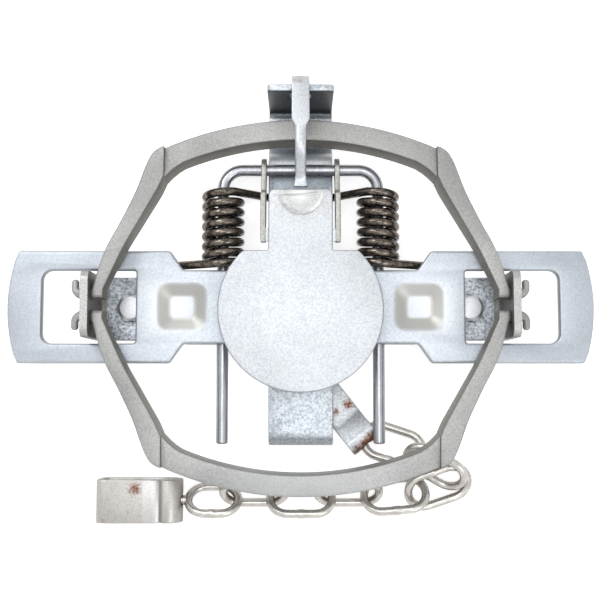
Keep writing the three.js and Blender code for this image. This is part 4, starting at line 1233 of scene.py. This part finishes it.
# Floor and room
FLOOR_HALF = 3000
FLOOR_GLOW = 0.7
FLOOR_TONE = 0.42
SEEN_FLOOR_TONE = 0.9
ROOM_LIGHT = 0.3
WHITE = (1.0, 1.0, 1.0)


def seen_ray(owner):
    """One on the rays that show the background: the camera's, and those by way of metal or glass."""
    path = owner.node_tree.nodes.new("ShaderNodeLightPath")
    seen = math_node(owner, "MAXIMUM", path.outputs["Is Camera Ray"], path.outputs["Is Glossy Ray"])
    return math_node(owner, "MAXIMUM", seen, path.outputs["Is Transmission Ray"])


build = Build()
corners = [(x * FLOOR_HALF, y * FLOOR_HALF) for x, y in ((-1, -1), (1, -1), (1, 1), (-1, 1))]
build.add(raised(corners, 0), [(0, 1, 2, 3)])
floor = build.make("floor")
floor_look = bpy.data.materials.new("floor_look")
floor_look.use_nodes = True
floor_shader = floor_look.node_tree.nodes["Principled BSDF"]
floor_shader.inputs["Roughness"].default_value = 0.9
floor_shader.inputs["Specular IOR Level"].default_value = 0.1
feed(floor_look, floor_shader.inputs["Emission Color"], WHITE)
floor_seen = seen_ray(floor_look)
glow = math_node(floor_look, "MULTIPLY", floor_seen, FLOOR_GLOW)
feed(floor_look, floor_shader.inputs["Emission Strength"], glow)
paler = math_node(floor_look, "MULTIPLY", floor_seen, SEEN_FLOOR_TONE - FLOOR_TONE)
feed(floor_look, floor_shader.inputs["Base Color"], math_node(floor_look, "ADD", paler, FLOOR_TONE))
floor.data.materials.append(floor_look)

world = bpy.data.worlds.new("room")
bpy.context.scene.world = world
world.use_nodes = True
sky = world.node_tree.nodes["Background"]
feed(world, sky.inputs["Color"], WHITE)
room = math_node(world, "MULTIPLY", seen_ray(world), 1 - ROOM_LIGHT)
feed(world, sky.inputs["Strength"], math_node(world, "ADD", room, ROOM_LIGHT))


# Lamps: name, place and size in metres, and watts
LAMP_TARGET = Vector((0, 0, 0))
LAMPS = (
    ("key", (-0.45, 0.55, 0.9), (0.5, 0.4), 3.9),
    ("fill", (0.6, -0.5, 0.9), (0.6, 0.5), 2.5),
    ("top", (0.0, 0.0, 0.66), (0.3, 0.3), 0.85),
)
for name, place, size, power in LAMPS:
    lamp_data = bpy.data.lights.new(name, "AREA")
    lamp_data.shape = "RECTANGLE"
    lamp_data.size, lamp_data.size_y = size
    lamp_data.energy = power
    lamp = bpy.data.objects.new(name, lamp_data)
    lamp.location = place
    lamp.rotation_euler = (LAMP_TARGET - Vector(place)).to_track_quat("-Z", "Y").to_euler()
    bpy.context.scene.collection.objects.link(lamp)


# Camera
camera_data = bpy.data.cameras.new("photo_camera")
camera_data.sensor_width = SENSOR_WIDTH
camera_data.lens = FOCAL_PIXELS / FRAME_PIXELS * SENSOR_WIDTH
camera_data.shift_x = (FRAME_PIXELS / 2 - TARGET_PIXEL_X) / FRAME_PIXELS
camera_data.shift_y = (TARGET_PIXEL_Y - FRAME_PIXELS / 2) / FRAME_PIXELS
camera_data.clip_start = 0.01
camera = bpy.data.objects.new("photo_camera", camera_data)
camera.location = (
    0,
    -CAMERA_DISTANCE * MM * math.sin(CAMERA_TILT),
    (CAMERA_TARGET_Z + CAMERA_DISTANCE * math.cos(CAMERA_TILT)) * MM,
)
camera.rotation_euler = (CAMERA_TILT, 0, 0)
bpy.context.scene.collection.objects.link(camera)
bpy.context.scene.camera = camera
bpy.context.scene.view_settings.view_transform = "Standard"
